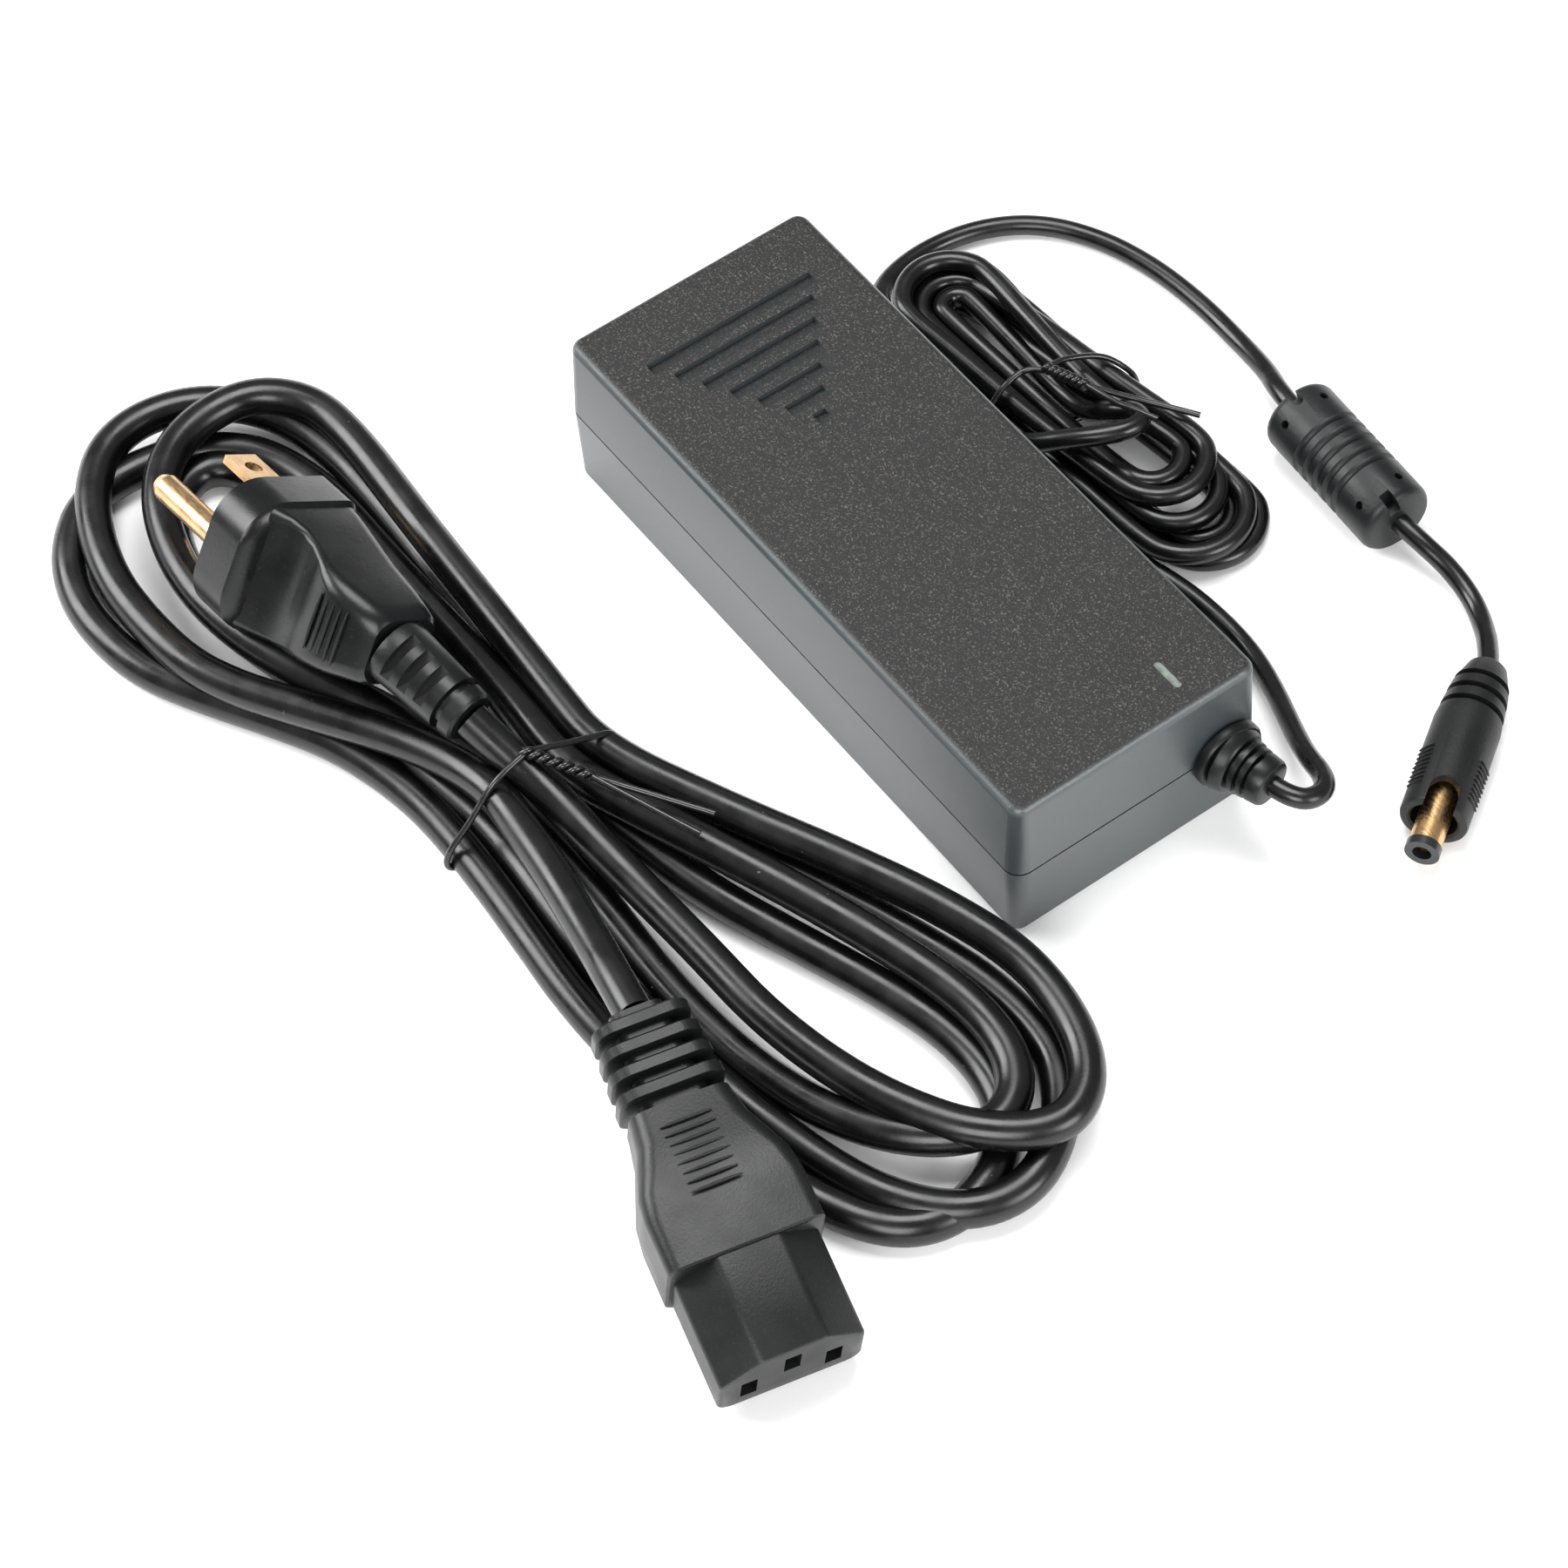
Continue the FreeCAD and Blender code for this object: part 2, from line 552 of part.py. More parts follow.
# ---------------------------------------------------------------- output cord

RELIEF_TURN = Rotation(Vector(0, 0, 1), 12.3)
relief_neck = rod("relief_neck", ("case_len / 2 - case_wall", "relief_side", "split_high"), "relief_neck",
                  "case_wall", ALONG_X)
relief_flange = rod("relief_flange", ("case_len / 2 - case_wall - 2.2", "relief_side", "split_high"),
                    "relief_flange", "2.2", ALONG_X)
relief_rim = rod("relief_rim", ("case_len / 2", "relief_side", "split_high"), "relief_rim",
                 "relief_rim_thick", ALONG_X)
relief_ring = rod("relief_ring", ("case_len / 2 + relief_rim_thick", "relief_side", "split_high"),
                  "relief_rim - 0.7",
                  "1", ALONG_X)
relief_taper = cone("relief_taper", ("case_len / 2 + relief_rim_thick", "relief_side", "split_high"),
                    "relief_rim - 1.3",
                    "relief_tip", "relief_long", RELIEF_TURN.multiply(ALONG_X))
keep("dc_strain_relief",
     join("dc_strain_relief", relief_flange, relief_neck, relief_rim, relief_ring, relief_taper))
for index, side in enumerate(("2.4", "-2.4")):
    name = ("output_wire_positive", "output_wire_negative")[index]
    keep(name,
         rod(name, ("case_len / 2 - case_wall - 8", "relief_side - 0.2 + " + side, "split_high"),
             "wire_rad",
                   "5.8", ALONG_X))

doc.recompute()
relief_end = relief_taper.Placement.multVec(Vector(0, 0, size("relief_long")))
print("output relief ends at", relief_end)
DC_LEAD = [tuple(relief_end), (76.9, 20.3, 16.9), (78.3, 24.6, 16.1), (75.4, 28.2, 14.5),
           (67.5, 30.5, 10.9),
           (58.8, 34.6, 6.8), (50.0, 38.6, 3.7), (41.5, 41.2, 2.0), (33.0, 41.6, 1.9), (24.0, 40.7, 1.9)]
cord("dc_cord_lead", DC_LEAD, "dc_rad")
DC_COIL_EDGE = [(26.0, 44.5), (24.0, 38.4), (15.0, 34.6), (0.0, 33.2), (-20.0, 32.8), (-40.0, 33.4),
                (-52.0, 35.8),
                (-57.2, 41.0), (-58.4, 46.5), (-57.0, 53.0), (-50.5, 58.3), (-37.0, 60.2), (-24.0, 60.6),
                (-10.0, 62.6), (5.0, 64.3), (14.5, 64.9), (22.0, 61.5), (26.0, 53.0)]
TIE_AT = -17.0
coil = smooth_plate(DC_COIL_EDGE, size("dc_coil_high"))
notch = Part.makeBox(2.4, 60.0, 1.7, Vector(TIE_AT - 1.2, 20.0, 0.0))
keep("dc_cord_coil", feature("dc_cord_coil", coil.cut(notch)))
DC_RUN = [(-49.0, 36.8, 1.9), (-56.5, 36.4, 1.9), (-61.4, 42.0, 1.9), (-63.2, 52.0, 1.9),
          (-61.3, 63.0, 1.9),
          (-55.5, 72.3, 1.9), (-46.0, 78.5, 1.9), (-35.0, 81.8, 1.9), (-23.0, 83.0, 1.9), (-12.0, 82.6,
                                                                                           2.1),
          (-3.0, 80.9, 4.4), (3.2, 78.6, 6.6), (8.6, 77.7, 6.9)]
BEAD_TURN = Rotation(Vector(0, 0, 1), -3.7)
BEAD = Placement(Vector(8.6, 77.7, 6.95), BEAD_TURN)
run_spots = DC_RUN[:-1] + [tuple(BEAD.multVec(Vector(1.0, 0, 0))),
                           tuple(BEAD.multVec(Vector(size("bead_long") / 2, 0, 0)))]
cord("dc_cord_run", run_spots, "dc_rad")
PLUG_TURN = Rotation(Vector(0, 0, 1), -56.6)
PLUG = Placement(Vector(69.9, 68.2, 6.0), PLUG_TURN)
DC_TAIL = [tuple(BEAD.multVec(Vector(size("bead_long") / 2, 0, 0))),
           tuple(BEAD.multVec(Vector(size("bead_long") - 1.0, 0, 0))),
           (43.3, 76.6, 6.0), (49.2, 78.0, 3.8), (55.5, 77.6, 2.3), (61.4, 75.0, 2.7), (66.2, 71.6, 4.8),
           tuple(PLUG.multVec(Vector(0, 0, 0)))]
cord("dc_cord_tail", DC_TAIL, "dc_rad")
high = size("dc_coil_high")
twist_tie("dc_cord_tie",
          [(TIE_AT, 46.6, high + 0.8), (TIE_AT, 38.0, high + 1.0), (TIE_AT, 31.4, high + 0.8),
           (TIE_AT, 30.6, 6.0),
           (TIE_AT, 31.4, 0.8), (TIE_AT, 40.0, 0.7), (TIE_AT, 54.0, 0.7), (TIE_AT, 62.6, 0.8), (TIE_AT,
                                                                                                63.4, 6.0),
           (TIE_AT, 62.8, high + 0.8), (TIE_AT, 55.0, high + 1.0), (TIE_AT, 47.0, high + 0.8)],
          [(TIE_AT - 1.4, 45.6, high + 1.3), (TIE_AT + 4.6, 48.6, high + 1.3)],
          [[(TIE_AT + 4.0, 48.3, high + 1.3), (-8.0, 51.6, high + 2.0), (-2.4, 55.6, high + 1.4),
            (3.4, 59.6, high + 0.9)],
           [(TIE_AT + 4.0, 48.3, high + 1.3), (-9.4, 48.9, high + 1.6), (-4.6, 51.6, high + 2.4),
            (0.6, 53.0, high + 1.8)]])


def turned_body(name, place, rings, inner=()):
    """A body turned about its own X axis from pairs of station and radius, then placed."""
    body = doc.addObject("PartDesign::Body", name)
    profile = new_sketch(body, name + "_profile", "XZ_Plane")
    first, last = rings[0][0], rings[-1][0]
    outline(profile, [(first, "0")] + list(rings) + [(last, "0")])
    revolve(body, name + "_turned", profile)
    if inner:
        bore = new_sketch(body, name + "_bore_profile", "XZ_Plane")
        outline(bore, [(inner[0][0], "0")] + list(inner) + [(inner[-1][0], "0")])
        revolve(body, name + "_bore", bore, subtract=True)
    body.Placement = place
    return keep(name, body)


BEAD_EDGE = "bead_rad - 1.6"
rings = [("0", BEAD_EDGE), ("0.5", "bead_rad - 0.6"), ("1.6", "bead_rad")]
for index in range(5):
    start = "bead_long / 2 - 6.4 + %g" % (2.7 * index)
    rings += [(start, "bead_rad"), (start + " + 0.2", "bead_rad - bead_ring_deep"),
              (start + " + bead_ring_wide",
               "bead_rad - bead_ring_deep"), (start + " + bead_ring_wide + 0.2", "bead_rad")]
rings += [("bead_long - 1.6", "bead_rad"), ("bead_long - 0.5", "bead_rad - 0.6"), ("bead_long", BEAD_EDGE)]
CORE_START = "(bead_long - bead_core_long) / 2"
CORE_END = "(bead_long + bead_core_long) / 2"
turned_body("ferrite_cover", BEAD, rings,
            [("-1", "dc_rad"), (CORE_START, "dc_rad"), (CORE_START + " + 0", "bead_core_rad"),
             (CORE_END, "bead_core_rad"),
             (CORE_END + " + 0", "dc_rad"), ("bead_long + 1", "dc_rad")])
turned_body("ferrite_core", BEAD, [(CORE_START, "bead_core_rad"), (CORE_END, "bead_core_rad")],
            [(CORE_START + " - 1", "dc_rad"), (CORE_END + " + 1", "dc_rad")])

CUP = "plug_long - plug_cup_deep"
turned_body("dc_plug_body", PLUG,
            [("0", "plug_neck - 0.6"), ("0.8", "plug_neck"), ("9.5", "plug_neck + 0.8"),
             ("12", "plug_neck + 1"),
             ("plug_long - 6", "plug_rad"), ("plug_long", "plug_rad")],
            [(CUP + " - 3", "barrel_rad"), (CUP, "barrel_rad"), (CUP + " + 0", "plug_cup"),
             ("plug_long + 1", "plug_cup")])
plug_notch = new_sketch(nodes[-1], "plug_notch_plan", "XY_Plane", "0", "plug_long - 1.5", "0")
rectangle(plug_notch, "9", "2 * plug_cup - 1.2", "1.6")
pocket(nodes[-1], "plug_notch", plug_notch, "plug_rad + 2", Reversed=True)
turned_body("dc_plug_sleeve", PLUG, [(CUP + " - 3", "barrel_rad"), (CUP + " + barrel_long", "barrel_rad")],
            [(CUP + " - 4", "barrel_bore"), (CUP + " + barrel_long + 1", "barrel_bore")])
turned_body("dc_plug_tip_ring", PLUG, [(CUP + " + barrel_long", "barrel_tip_rad"),
                                       (CUP + " + barrel_long + barrel_tip", "barrel_tip_rad")],
            [(CUP + " + barrel_long - 1", "barrel_bore - 0.3"),
             (CUP + " + barrel_long + barrel_tip + 1", "barrel_bore - 0.3")])
turned_body("dc_plug_contact", PLUG, [(CUP + " - 3", "barrel_bore"), (CUP + " - 1", "barrel_bore"),
                                      (CUP + " - 0.99", "contact_rad"), (CUP + " + barrel_long - 2",
                                                                         "contact_rad")])

# ---------------------------------------------------------------- mains cord set

SOCKET = Placement(Vector(107.2, -102.8, 8.7),
                   Rotation(Vector(0, 0, 1), -13).multiply(Rotation(Vector(0, 1, 0), 11.5)))
socket_body = doc.addObject("PartDesign::Body", "mains_socket_body")
nose = new_sketch(socket_body, "nose_face", "YZ_Plane")
outline(nose,
        [("-conn_nose_wide / 2", "-conn_nose_high / 2"), ("conn_nose_wide / 2", "-conn_nose_high / 2"),
               ("conn_nose_wide / 2", "conn_nose_high / 2 - cavity_chamfer"),
               ("conn_nose_wide / 2 - cavity_chamfer", "conn_nose_high / 2"),
               ("cavity_chamfer - conn_nose_wide / 2", "conn_nose_high / 2"),
               ("-conn_nose_wide / 2", "conn_nose_high / 2 - cavity_chamfer")])
pad(socket_body, "nose", nose, "conn_nose_long", Reversed=True)
STATIONS = (("shoulder", "-conn_nose_long", "conn_wide", "conn_high", "2.4"),
            ("shoulder_end", "-30", "conn_wide", "conn_high", "2.4"),
            ("neck", "-conn_long", "conn_neck_wide", "conn_neck_high", "3"),
            ("tail_end", "-conn_long - conn_tail_long", "conn_tail_wide", "conn_tail_high", "3"))
sections = []
for name, station, wide, tall, corner in STATIONS:
    section = new_sketch(socket_body, name + "_section", "YZ_Plane", station)
    rectangle(section, wide, tall, corner)
    sections.append(section)
pad(socket_body, "shoulder", sections[0], "30 - conn_nose_long", Reversed=True)
for index, name in ((1, "taper"), (2, "tail")):
    loft(socket_body, name, [sections[index], sections[index + 1]])
SLOTS = (("live", "-pin_spacing / 2", "-pin_drop"), ("neutral", "pin_spacing / 2", "-pin_drop"),
         ("earth", "0", "pin_drop"))
for name, across, up in SLOTS:
    mouth = new_sketch(socket_body, name + "_mouth", "YZ_Plane", "0", across, up)
    rectangle(mouth, "slot_wide", "slot_high")
    pocket(socket_body, name + "_slot", mouth, "slot_deep + 3")
socket_body.Placement = SOCKET
keep("mains_socket_body", socket_body)
contact_parts = []
for name, across, up in SLOTS:
    for side in (-1, 1):
        corner = ("-slot_deep - 3", "%s + %d * (slot_wide / 2 - 0.15) - 0.15" % (across, side),
                  "%s - slot_high / 2" % up)
        contact_parts.append(box(name + "_strip", corner, ("slot_deep - 2", "0.3", "slot_high"), SOCKET))
keep("mains_socket_contacts", group("mains_socket_contacts", *contact_parts))

PRONG = Vector(-0.985, -0.03, -0.15).normalize()
TOWARDS_BLADES = Vector(0.05, 0.83, -0.55)
TOWARDS_BLADES = (TOWARDS_BLADES - PRONG * TOWARDS_BLADES.dot(PRONG)).normalize()
WALL_PLUG = Placement(Vector(-68.0, -79.8, 16.6),
                      Rotation(PRONG, TOWARDS_BLADES, PRONG.cross(TOWARDS_BLADES), "XYZ"))
wall_body = doc.addObject("PartDesign::Body", "mains_plug_body")
WALL_STATIONS = (("face", "0", "-5", "wall_wide", "wall_tall", "4"),
                 ("block_end", "-wall_block", "-4.9", "wall_wide", "wall_tall", "4"),
                 ("grip", "-wall_block - 12", "-3.8", "wall_wide - 6", "wall_tall - 3", "5"),
                 ("wall_neck", "-wall_long", "wall_neck_side", "2 * wall_neck_rad + 2",
                  "2 * wall_neck_rad + 2", "5"))
sections = []
for name, station, side, tall, wide, corner in WALL_STATIONS:
    section = new_sketch(wall_body, name + "_section", "YZ_Plane", station, side)
    rectangle(section, wide, tall, corner)
    sections.append(section)
pad(wall_body, "front_block", sections[0], "wall_block", Reversed=True)
loft(wall_body, "grip_taper", [sections[1], sections[2]])
loft(wall_body, "rear_taper", [sections[2], sections[3]])
for name, across, up, wide, tall in (("upper_blade", "0", "-blade_spacing / 2", "blade_wide",
                                      "blade_thick"),
                                     ("lower_blade", "0", "blade_spacing / 2", "blade_wide",
                                      "blade_thick")):
    mouth = new_sketch(wall_body, name + "_mouth", "YZ_Plane", "0", across, up)
    rectangle(mouth, wide, tall)
    pocket(wall_body, name + "_seat", mouth, "shank_deep")
pin_mouth = new_sketch(wall_body, "ground_mouth", "YZ_Plane", "0", "-ground_drop", "0")
circle(pin_mouth, "ground_rad - ground_step")
pocket(wall_body, "ground_seat", pin_mouth, "shank_deep")
wall_body.Placement = WALL_PLUG
keep("mains_plug_body", wall_body)

for name, sign in (("mains_blade_live", "-"), ("mains_blade_neutral", "")):
    blade = doc.addObject("PartDesign::Body", name)
    plan = new_sketch(blade, name + "_section", "YZ_Plane", "-shank_deep", "0", sign + "blade_spacing / 2")
    rectangle(plan, "blade_wide", "blade_thick")
    pad(blade, name + "_pad", plan, "blade_long + shank_deep")
    hole = new_sketch(blade, name + "_hole_plan", "XY_Plane", "0", "blade_long - 4.2", "0")
    circle(hole, "blade_hole")
    pocket(blade, name + "_hole", hole, "20", Midplane=True)
    blade.Placement = WALL_PLUG
    keep(name, blade)
turned_body("mains_ground_pin", WALL_PLUG,
            [("-shank_deep", "ground_rad - ground_step"), ("ground_step", "ground_rad - ground_step"),
                                            ("ground_step + 0", "ground_rad"), ("ground_long - 2",
                                                                                "ground_rad"),
                                            ("ground_long - 0.6", "ground_rad - 0.6"), ("ground_long",
                                                                                        "ground_rad - 1.5")])
nodes[-1].Placement = WALL_PLUG.multiply(Placement(Vector(0, -size("ground_drop"), 0), Rotation()))

relief_start = WALL_PLUG.multVec(Vector(-size("wall_long"), size("wall_neck_side"), 0))
relief_stop = Vector(-15.6, -76.6, 19.6)
relief_axis = Rotation(Vector(0, 0, 1), relief_stop - relief_start)
relief_place = Placement(relief_start - (relief_stop - relief_start).normalize(), relief_axis)
relief = cone("relief_cone", ("0", "0", "0"), "wall_neck_rad", "wall_tail_rad", "wall_tail_long",
              place=relief_place)
relief_end = relief_place.multVec(Vector(0, 0, size("wall_tail_long")))
print("relief end", relief_end, "length", relief_stop.distanceToPoint(relief_start))
keep("mains_plug_relief", carve("mains_plug_relief", relief, wall_body))

socket_tail = SOCKET.multVec(Vector(-size("conn_long") - size("conn_tail_long"), 0, 0))
MAINS_LEAD = [tuple(socket_tail), (39.9, -87.5, 20.4), (32.4, -85.7, 18.5), (24.0, -83.9, 17.0),
              (15.0, -82.2, 15.8),
              (5.0, -80.7, 14.4), (-5.4, -79.3, 13.0), (-15.4, -80.7, 11.2), (-25.6, -84.6, 9.8)]
cord("mains_cord_lead", MAINS_LEAD, "ac_rad")
MAINS_TAIL = [tuple(relief_end), (-10.6, -75.3, 17.4), (-4.8, -73.7, 15.0), (2.6, -72.5, 13.2),
              (11.6, -71.6, 11.4),
              (22.4, -70.5, 9.8)]
cord("mains_cord_tail", MAINS_TAIL, "ac_rad")
OUTER_EDGE = [(-4.0, -54.6), (16.0, -44.5), (37.0, -35.6), (54.0, -29.8), (70.0, -26.2), (84.0, -26.8),
              (95.5, -31.4),
              (102.0, -39.0), (105.6, -48.0), (104.8, -57.0), (101.4, -68.0), (95.6, -77.5), (84.0, -84.2),
              (64.0, -89.6), (46.0, -92.6), (30.5, -92.8), (13.0, -91.2), (-4.0, -90.2), (-22.0,
                                                                                          -93.8), (-38.0,
                                                                                                   -99.0),
              (-55.0, -107.4), (-68.0, -112.8), (-80.0, -114.2), (-90.0, -112.6), (-100.5,
                                                                                   -107.6), (-107.6, -99.0),
              (-113.4, -91.0), (-115.6, -81.0), (-113.0, -70.0), (-106.0, -60.0), (-96.0, -53.4), (-82.0,
                                                                                                   -51.4),
              (-61.0, -53.2), (-38.0, -55.0), (-20.0, -55.4)]
RIGHT_HOLE = [(14.0, -63.4), (32.0, -56.0), (50.0, -49.4), (66.0, -45.6), (80.0, -46.0), (85.6, -50.8),
              (83.0, -57.0),
              (74.0, -62.0), (56.0, -65.8), (34.0, -66.0)]
LEFT_HOLE = [(-26.0, -73.0), (-40.0, -78.0), (-58.0, -88.0), (-72.0, -91.0), (-86.0, -90.4), (-95.6, -84.0),
             (-97.4, -76.0), (-92.0, -70.0), (-78.0, -67.6), (-60.0, -68.0), (-42.0, -68.6)]
hank = smooth_plate(OUTER_EDGE, size("ac_coil_high"))
for hole in (RIGHT_HOLE, LEFT_HOLE):
    hank = hank.cut(smooth_plate(hole, size("ac_coil_high")))
gap = size("soft_gap")
side, tall = size("conn_wide") / 2 + gap, size("conn_high") / 2 + gap
for low, high_corner in (((-46.0, -side, -tall), (1.0, side, 20.0)),
                         ((-64.0, -9.6, -6.9), (-30.0, 9.6, 20.0))):
    hank = hank.cut(oriented_box(SOCKET, low, high_corner))
hank = hank.cut(oriented_box(WALL_PLUG, (-38.0, -17.2, -13.0), (0.6, 7.2, 13.0)))
hank = hank.cut(oriented_box(WALL_PLUG, (0.0, -15.0, -8.0), (22.0, 4.0, 8.0)))
hank = hank.cut(Part.makeBox(2.6, 60.0, 1.8, Vector(-5.3, -100.0, 0.0)))
print("hank solids", len(hank.Solids), [round(item.Volume) for item in hank.Solids])
hank = max(hank.Solids, key=lambda item: item.Volume)
keep("mains_cord_hank", feature("mains_cord_hank", hank))
twist_tie("mains_cord_tie",
          [(-4.0, -71.6, 18.9), (-4.0, -64.0, 17.2), (-4.0, -55.4, 14.8), (-4.0, -53.2, 12.0),
           (-4.0, -53.0, 5.6),
           (-4.0, -54.0, 0.9), (-4.0, -66.0, 0.8), (-4.0, -80.0, 0.8), (-4.0, -90.8, 0.9), (-4.0, -92.0,
                                                                                            5.6),
           (-4.0, -91.6, 12.0), (-4.0, -88.4, 15.2), (-4.0, -80.0, 17.8), (-4.0, -72.6, 19.1)],
          [(-4.9, -73.2, 19.4), (4.2, -66.6, 16.6)],
          [[(3.6, -67.0, 16.8), (9.0, -62.4, 15.4), (14.8, -58.0, 14.6), (20.4, -54.0, 14.0)],
           [(3.6, -67.0, 16.8), (10.0, -64.0, 17.6), (16.6, -60.8, 16.0), (22.4, -58.4, 14.2)]])

# ---------------------------------------------------------------- checks and files
doc.recompute()
failed = [item.Label for item in doc.Objects if "Invalid" in item.State or "Error" in item.State]
for item in nodes:
    if item.Shape.isNull() or not item.Shape.isValid():
        failed.append(item.Label)
if failed:
    raise RuntimeError("failed: " + ", ".join(failed))
os.makedirs("parts", exist_ok=True)
for item in nodes:
    item.Shape.exportStep("parts/%s.step" % item.Label)
print(len(nodes), "nodes")
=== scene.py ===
import math

import bmesh
import bpy
from bpy.props import FloatProperty, FloatVectorProperty, IntProperty, PointerProperty
from mathutils import Matrix, Vector


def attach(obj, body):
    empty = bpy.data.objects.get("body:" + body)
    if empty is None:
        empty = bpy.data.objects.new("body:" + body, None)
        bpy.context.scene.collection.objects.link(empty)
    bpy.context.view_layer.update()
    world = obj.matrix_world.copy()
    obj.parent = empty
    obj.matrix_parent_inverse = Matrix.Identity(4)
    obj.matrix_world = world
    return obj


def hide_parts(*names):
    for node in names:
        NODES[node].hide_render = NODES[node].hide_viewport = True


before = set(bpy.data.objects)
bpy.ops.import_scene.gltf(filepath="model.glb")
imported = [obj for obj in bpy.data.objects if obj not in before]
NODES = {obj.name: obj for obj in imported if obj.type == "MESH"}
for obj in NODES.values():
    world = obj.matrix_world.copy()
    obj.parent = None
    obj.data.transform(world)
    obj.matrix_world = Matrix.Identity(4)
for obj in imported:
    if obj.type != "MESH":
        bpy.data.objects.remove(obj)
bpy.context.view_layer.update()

bl_info = {
    "name": "Laptop Power Adapter",
    "version": (1, 0, 0),
    "blender": (4, 5, 0),
    "location": "3D View > Sidebar > Adapter",
    "description": "Builds a laptop power brick with its coiled output cord and mains cord set",
    "category": "Object",
}

MM = 0.001
BRICK = "root"
CORD_SET = "mains_cord_set"


def linear(code):
    """An sRGB hex colour as linear RGB."""
    parts = [int(code[index:index + 2], 16) / 255 for index in (1, 3, 5)]
    return tuple(part / 12.92 if part <= 0.04045 else ((part + 0.055) / 1.055) ** 2.4
                 for part in parts)


# ---------------------------------------------------------------- settings

class AdapterSettings(bpy.types.PropertyGroup):
    """Sizes and colours of the whole adapter"""

    output_cord: FloatProperty(
        name="Output cord diameter", description="Thickness of the fixed output cord",
        default=0.0036, unit="LENGTH", min=0.002, max=0.006)
    mains_cord: FloatProperty(
        name="Mains cord diameter", description="Thickness of the mains cord",
        default=0.0064, unit="LENGTH", min=0.004, max=0.009)
    tie_wire: FloatProperty(
        name="Tie wire diameter", description="Thickness of the plastic-coated tie wires",
        default=0.0011, unit="LENGTH", min=0.0005, max=0.002)
    bead_grooves: IntProperty(
        name="Bead grooves", description="Grooves round the middle of the ferrite bead",
        default=5, min=1, max=9)
    case_colour: FloatVectorProperty(
        name="Case colour", description="Moulded colour of the brick", subtype="COLOR",
        default=linear("#0c0d0d"), min=0, max=1)
    cord_colour: FloatVectorProperty(
        name="Cord colour", description="Colour of the cord jackets", subtype="COLOR",
        default=linear("#060607"), min=0, max=1)
    plug_colour: FloatVectorProperty(
        name="Plug colour", description="Colour of the moulded plugs and reliefs", subtype="COLOR",
        default=linear("#08090a"), min=0, max=1)


def settings():
    """The scene's adapter settings."""
    return bpy.context.scene.adapter


# ---------------------------------------------------------------- materials

def add(tree, kind, links=None, **choices):
    """Add a node with its settings, and link or set its inputs."""
    node = tree.nodes.new(kind)
    for name, value in choices.items():
        setattr(node, name, value)
    for name, value in (links or {}).items():
        if isinstance(value, bpy.types.NodeSocket):
            tree.links.new(value, node.inputs[name])
        else:
            node.inputs[name].default_value = value
    return node


def new_finish(name, **values):
    """A material with one Principled shader whose plain values are set on its sockets."""
    material = bpy.data.materials.new(name)
    material.use_nodes = True
    tree = material.node_tree
    tree.nodes.clear()
    shader = add(tree, "ShaderNodeBsdfPrincipled")
    for key, value in values.items():
        shader.inputs[key.replace("_", " ")].default_value = value
    add(tree, "ShaderNodeOutputMaterial", {"Surface": shader.outputs["BSDF"]})
    place = add(tree, "ShaderNodeTexCoord").outputs["Object"]
    return material, tree, shader, place


def per_metre(size_mm):
    """A noise scale whose features are about this many millimetres across."""
    return 1000.0 / size_mm


def noise(tree, place, size_mm, detail=2.0, roughness=0.5):
    """A noise pattern of a real size."""
    return add(tree, "ShaderNodeTexNoise",
               {"Vector": place, "Scale": per_metre(size_mm), "Detail": detail, "Roughness": roughness})


def ramp(tree, value, low, high, first, last):
    """Map a value from one range to another, clamped."""
    node = add(tree, "ShaderNodeMapRange",
               {"Value": value, "From Min": low, "From Max": high, "To Min": first, "To Max": last})
    return node.outputs["Result"]


def mix(tree, factor, first, second):
    """Mix two colours by a factor."""
    node = add(tree, "ShaderNodeMix", {"Factor": factor}, data_type="RGBA")
    for socket, value in ((node.inputs[6], first), (node.inputs[7], second)):
        if isinstance(value, bpy.types.NodeSocket):
            tree.links.new(value, socket)
        else:
            socket.default_value = (*value[:3], 1.0)
    return node.outputs[2]


def toned(tree, factor, colour, dark, light):
    """Vary a colour between a darker and a lighter tone of itself."""
    return mix(tree, factor, tuple(part * dark for part in colour),
               tuple(part * light for part in colour))


def bump(tree, shader, height, strength, depth_mm):
    """Raise the surface by a height pattern."""
    node = add(tree, "ShaderNodeBump", {"Height": height, "Strength": strength, "Distance": depth_mm * MM})
    tree.links.new(node.outputs["Normal"], shader.inputs["Normal"])
    return node


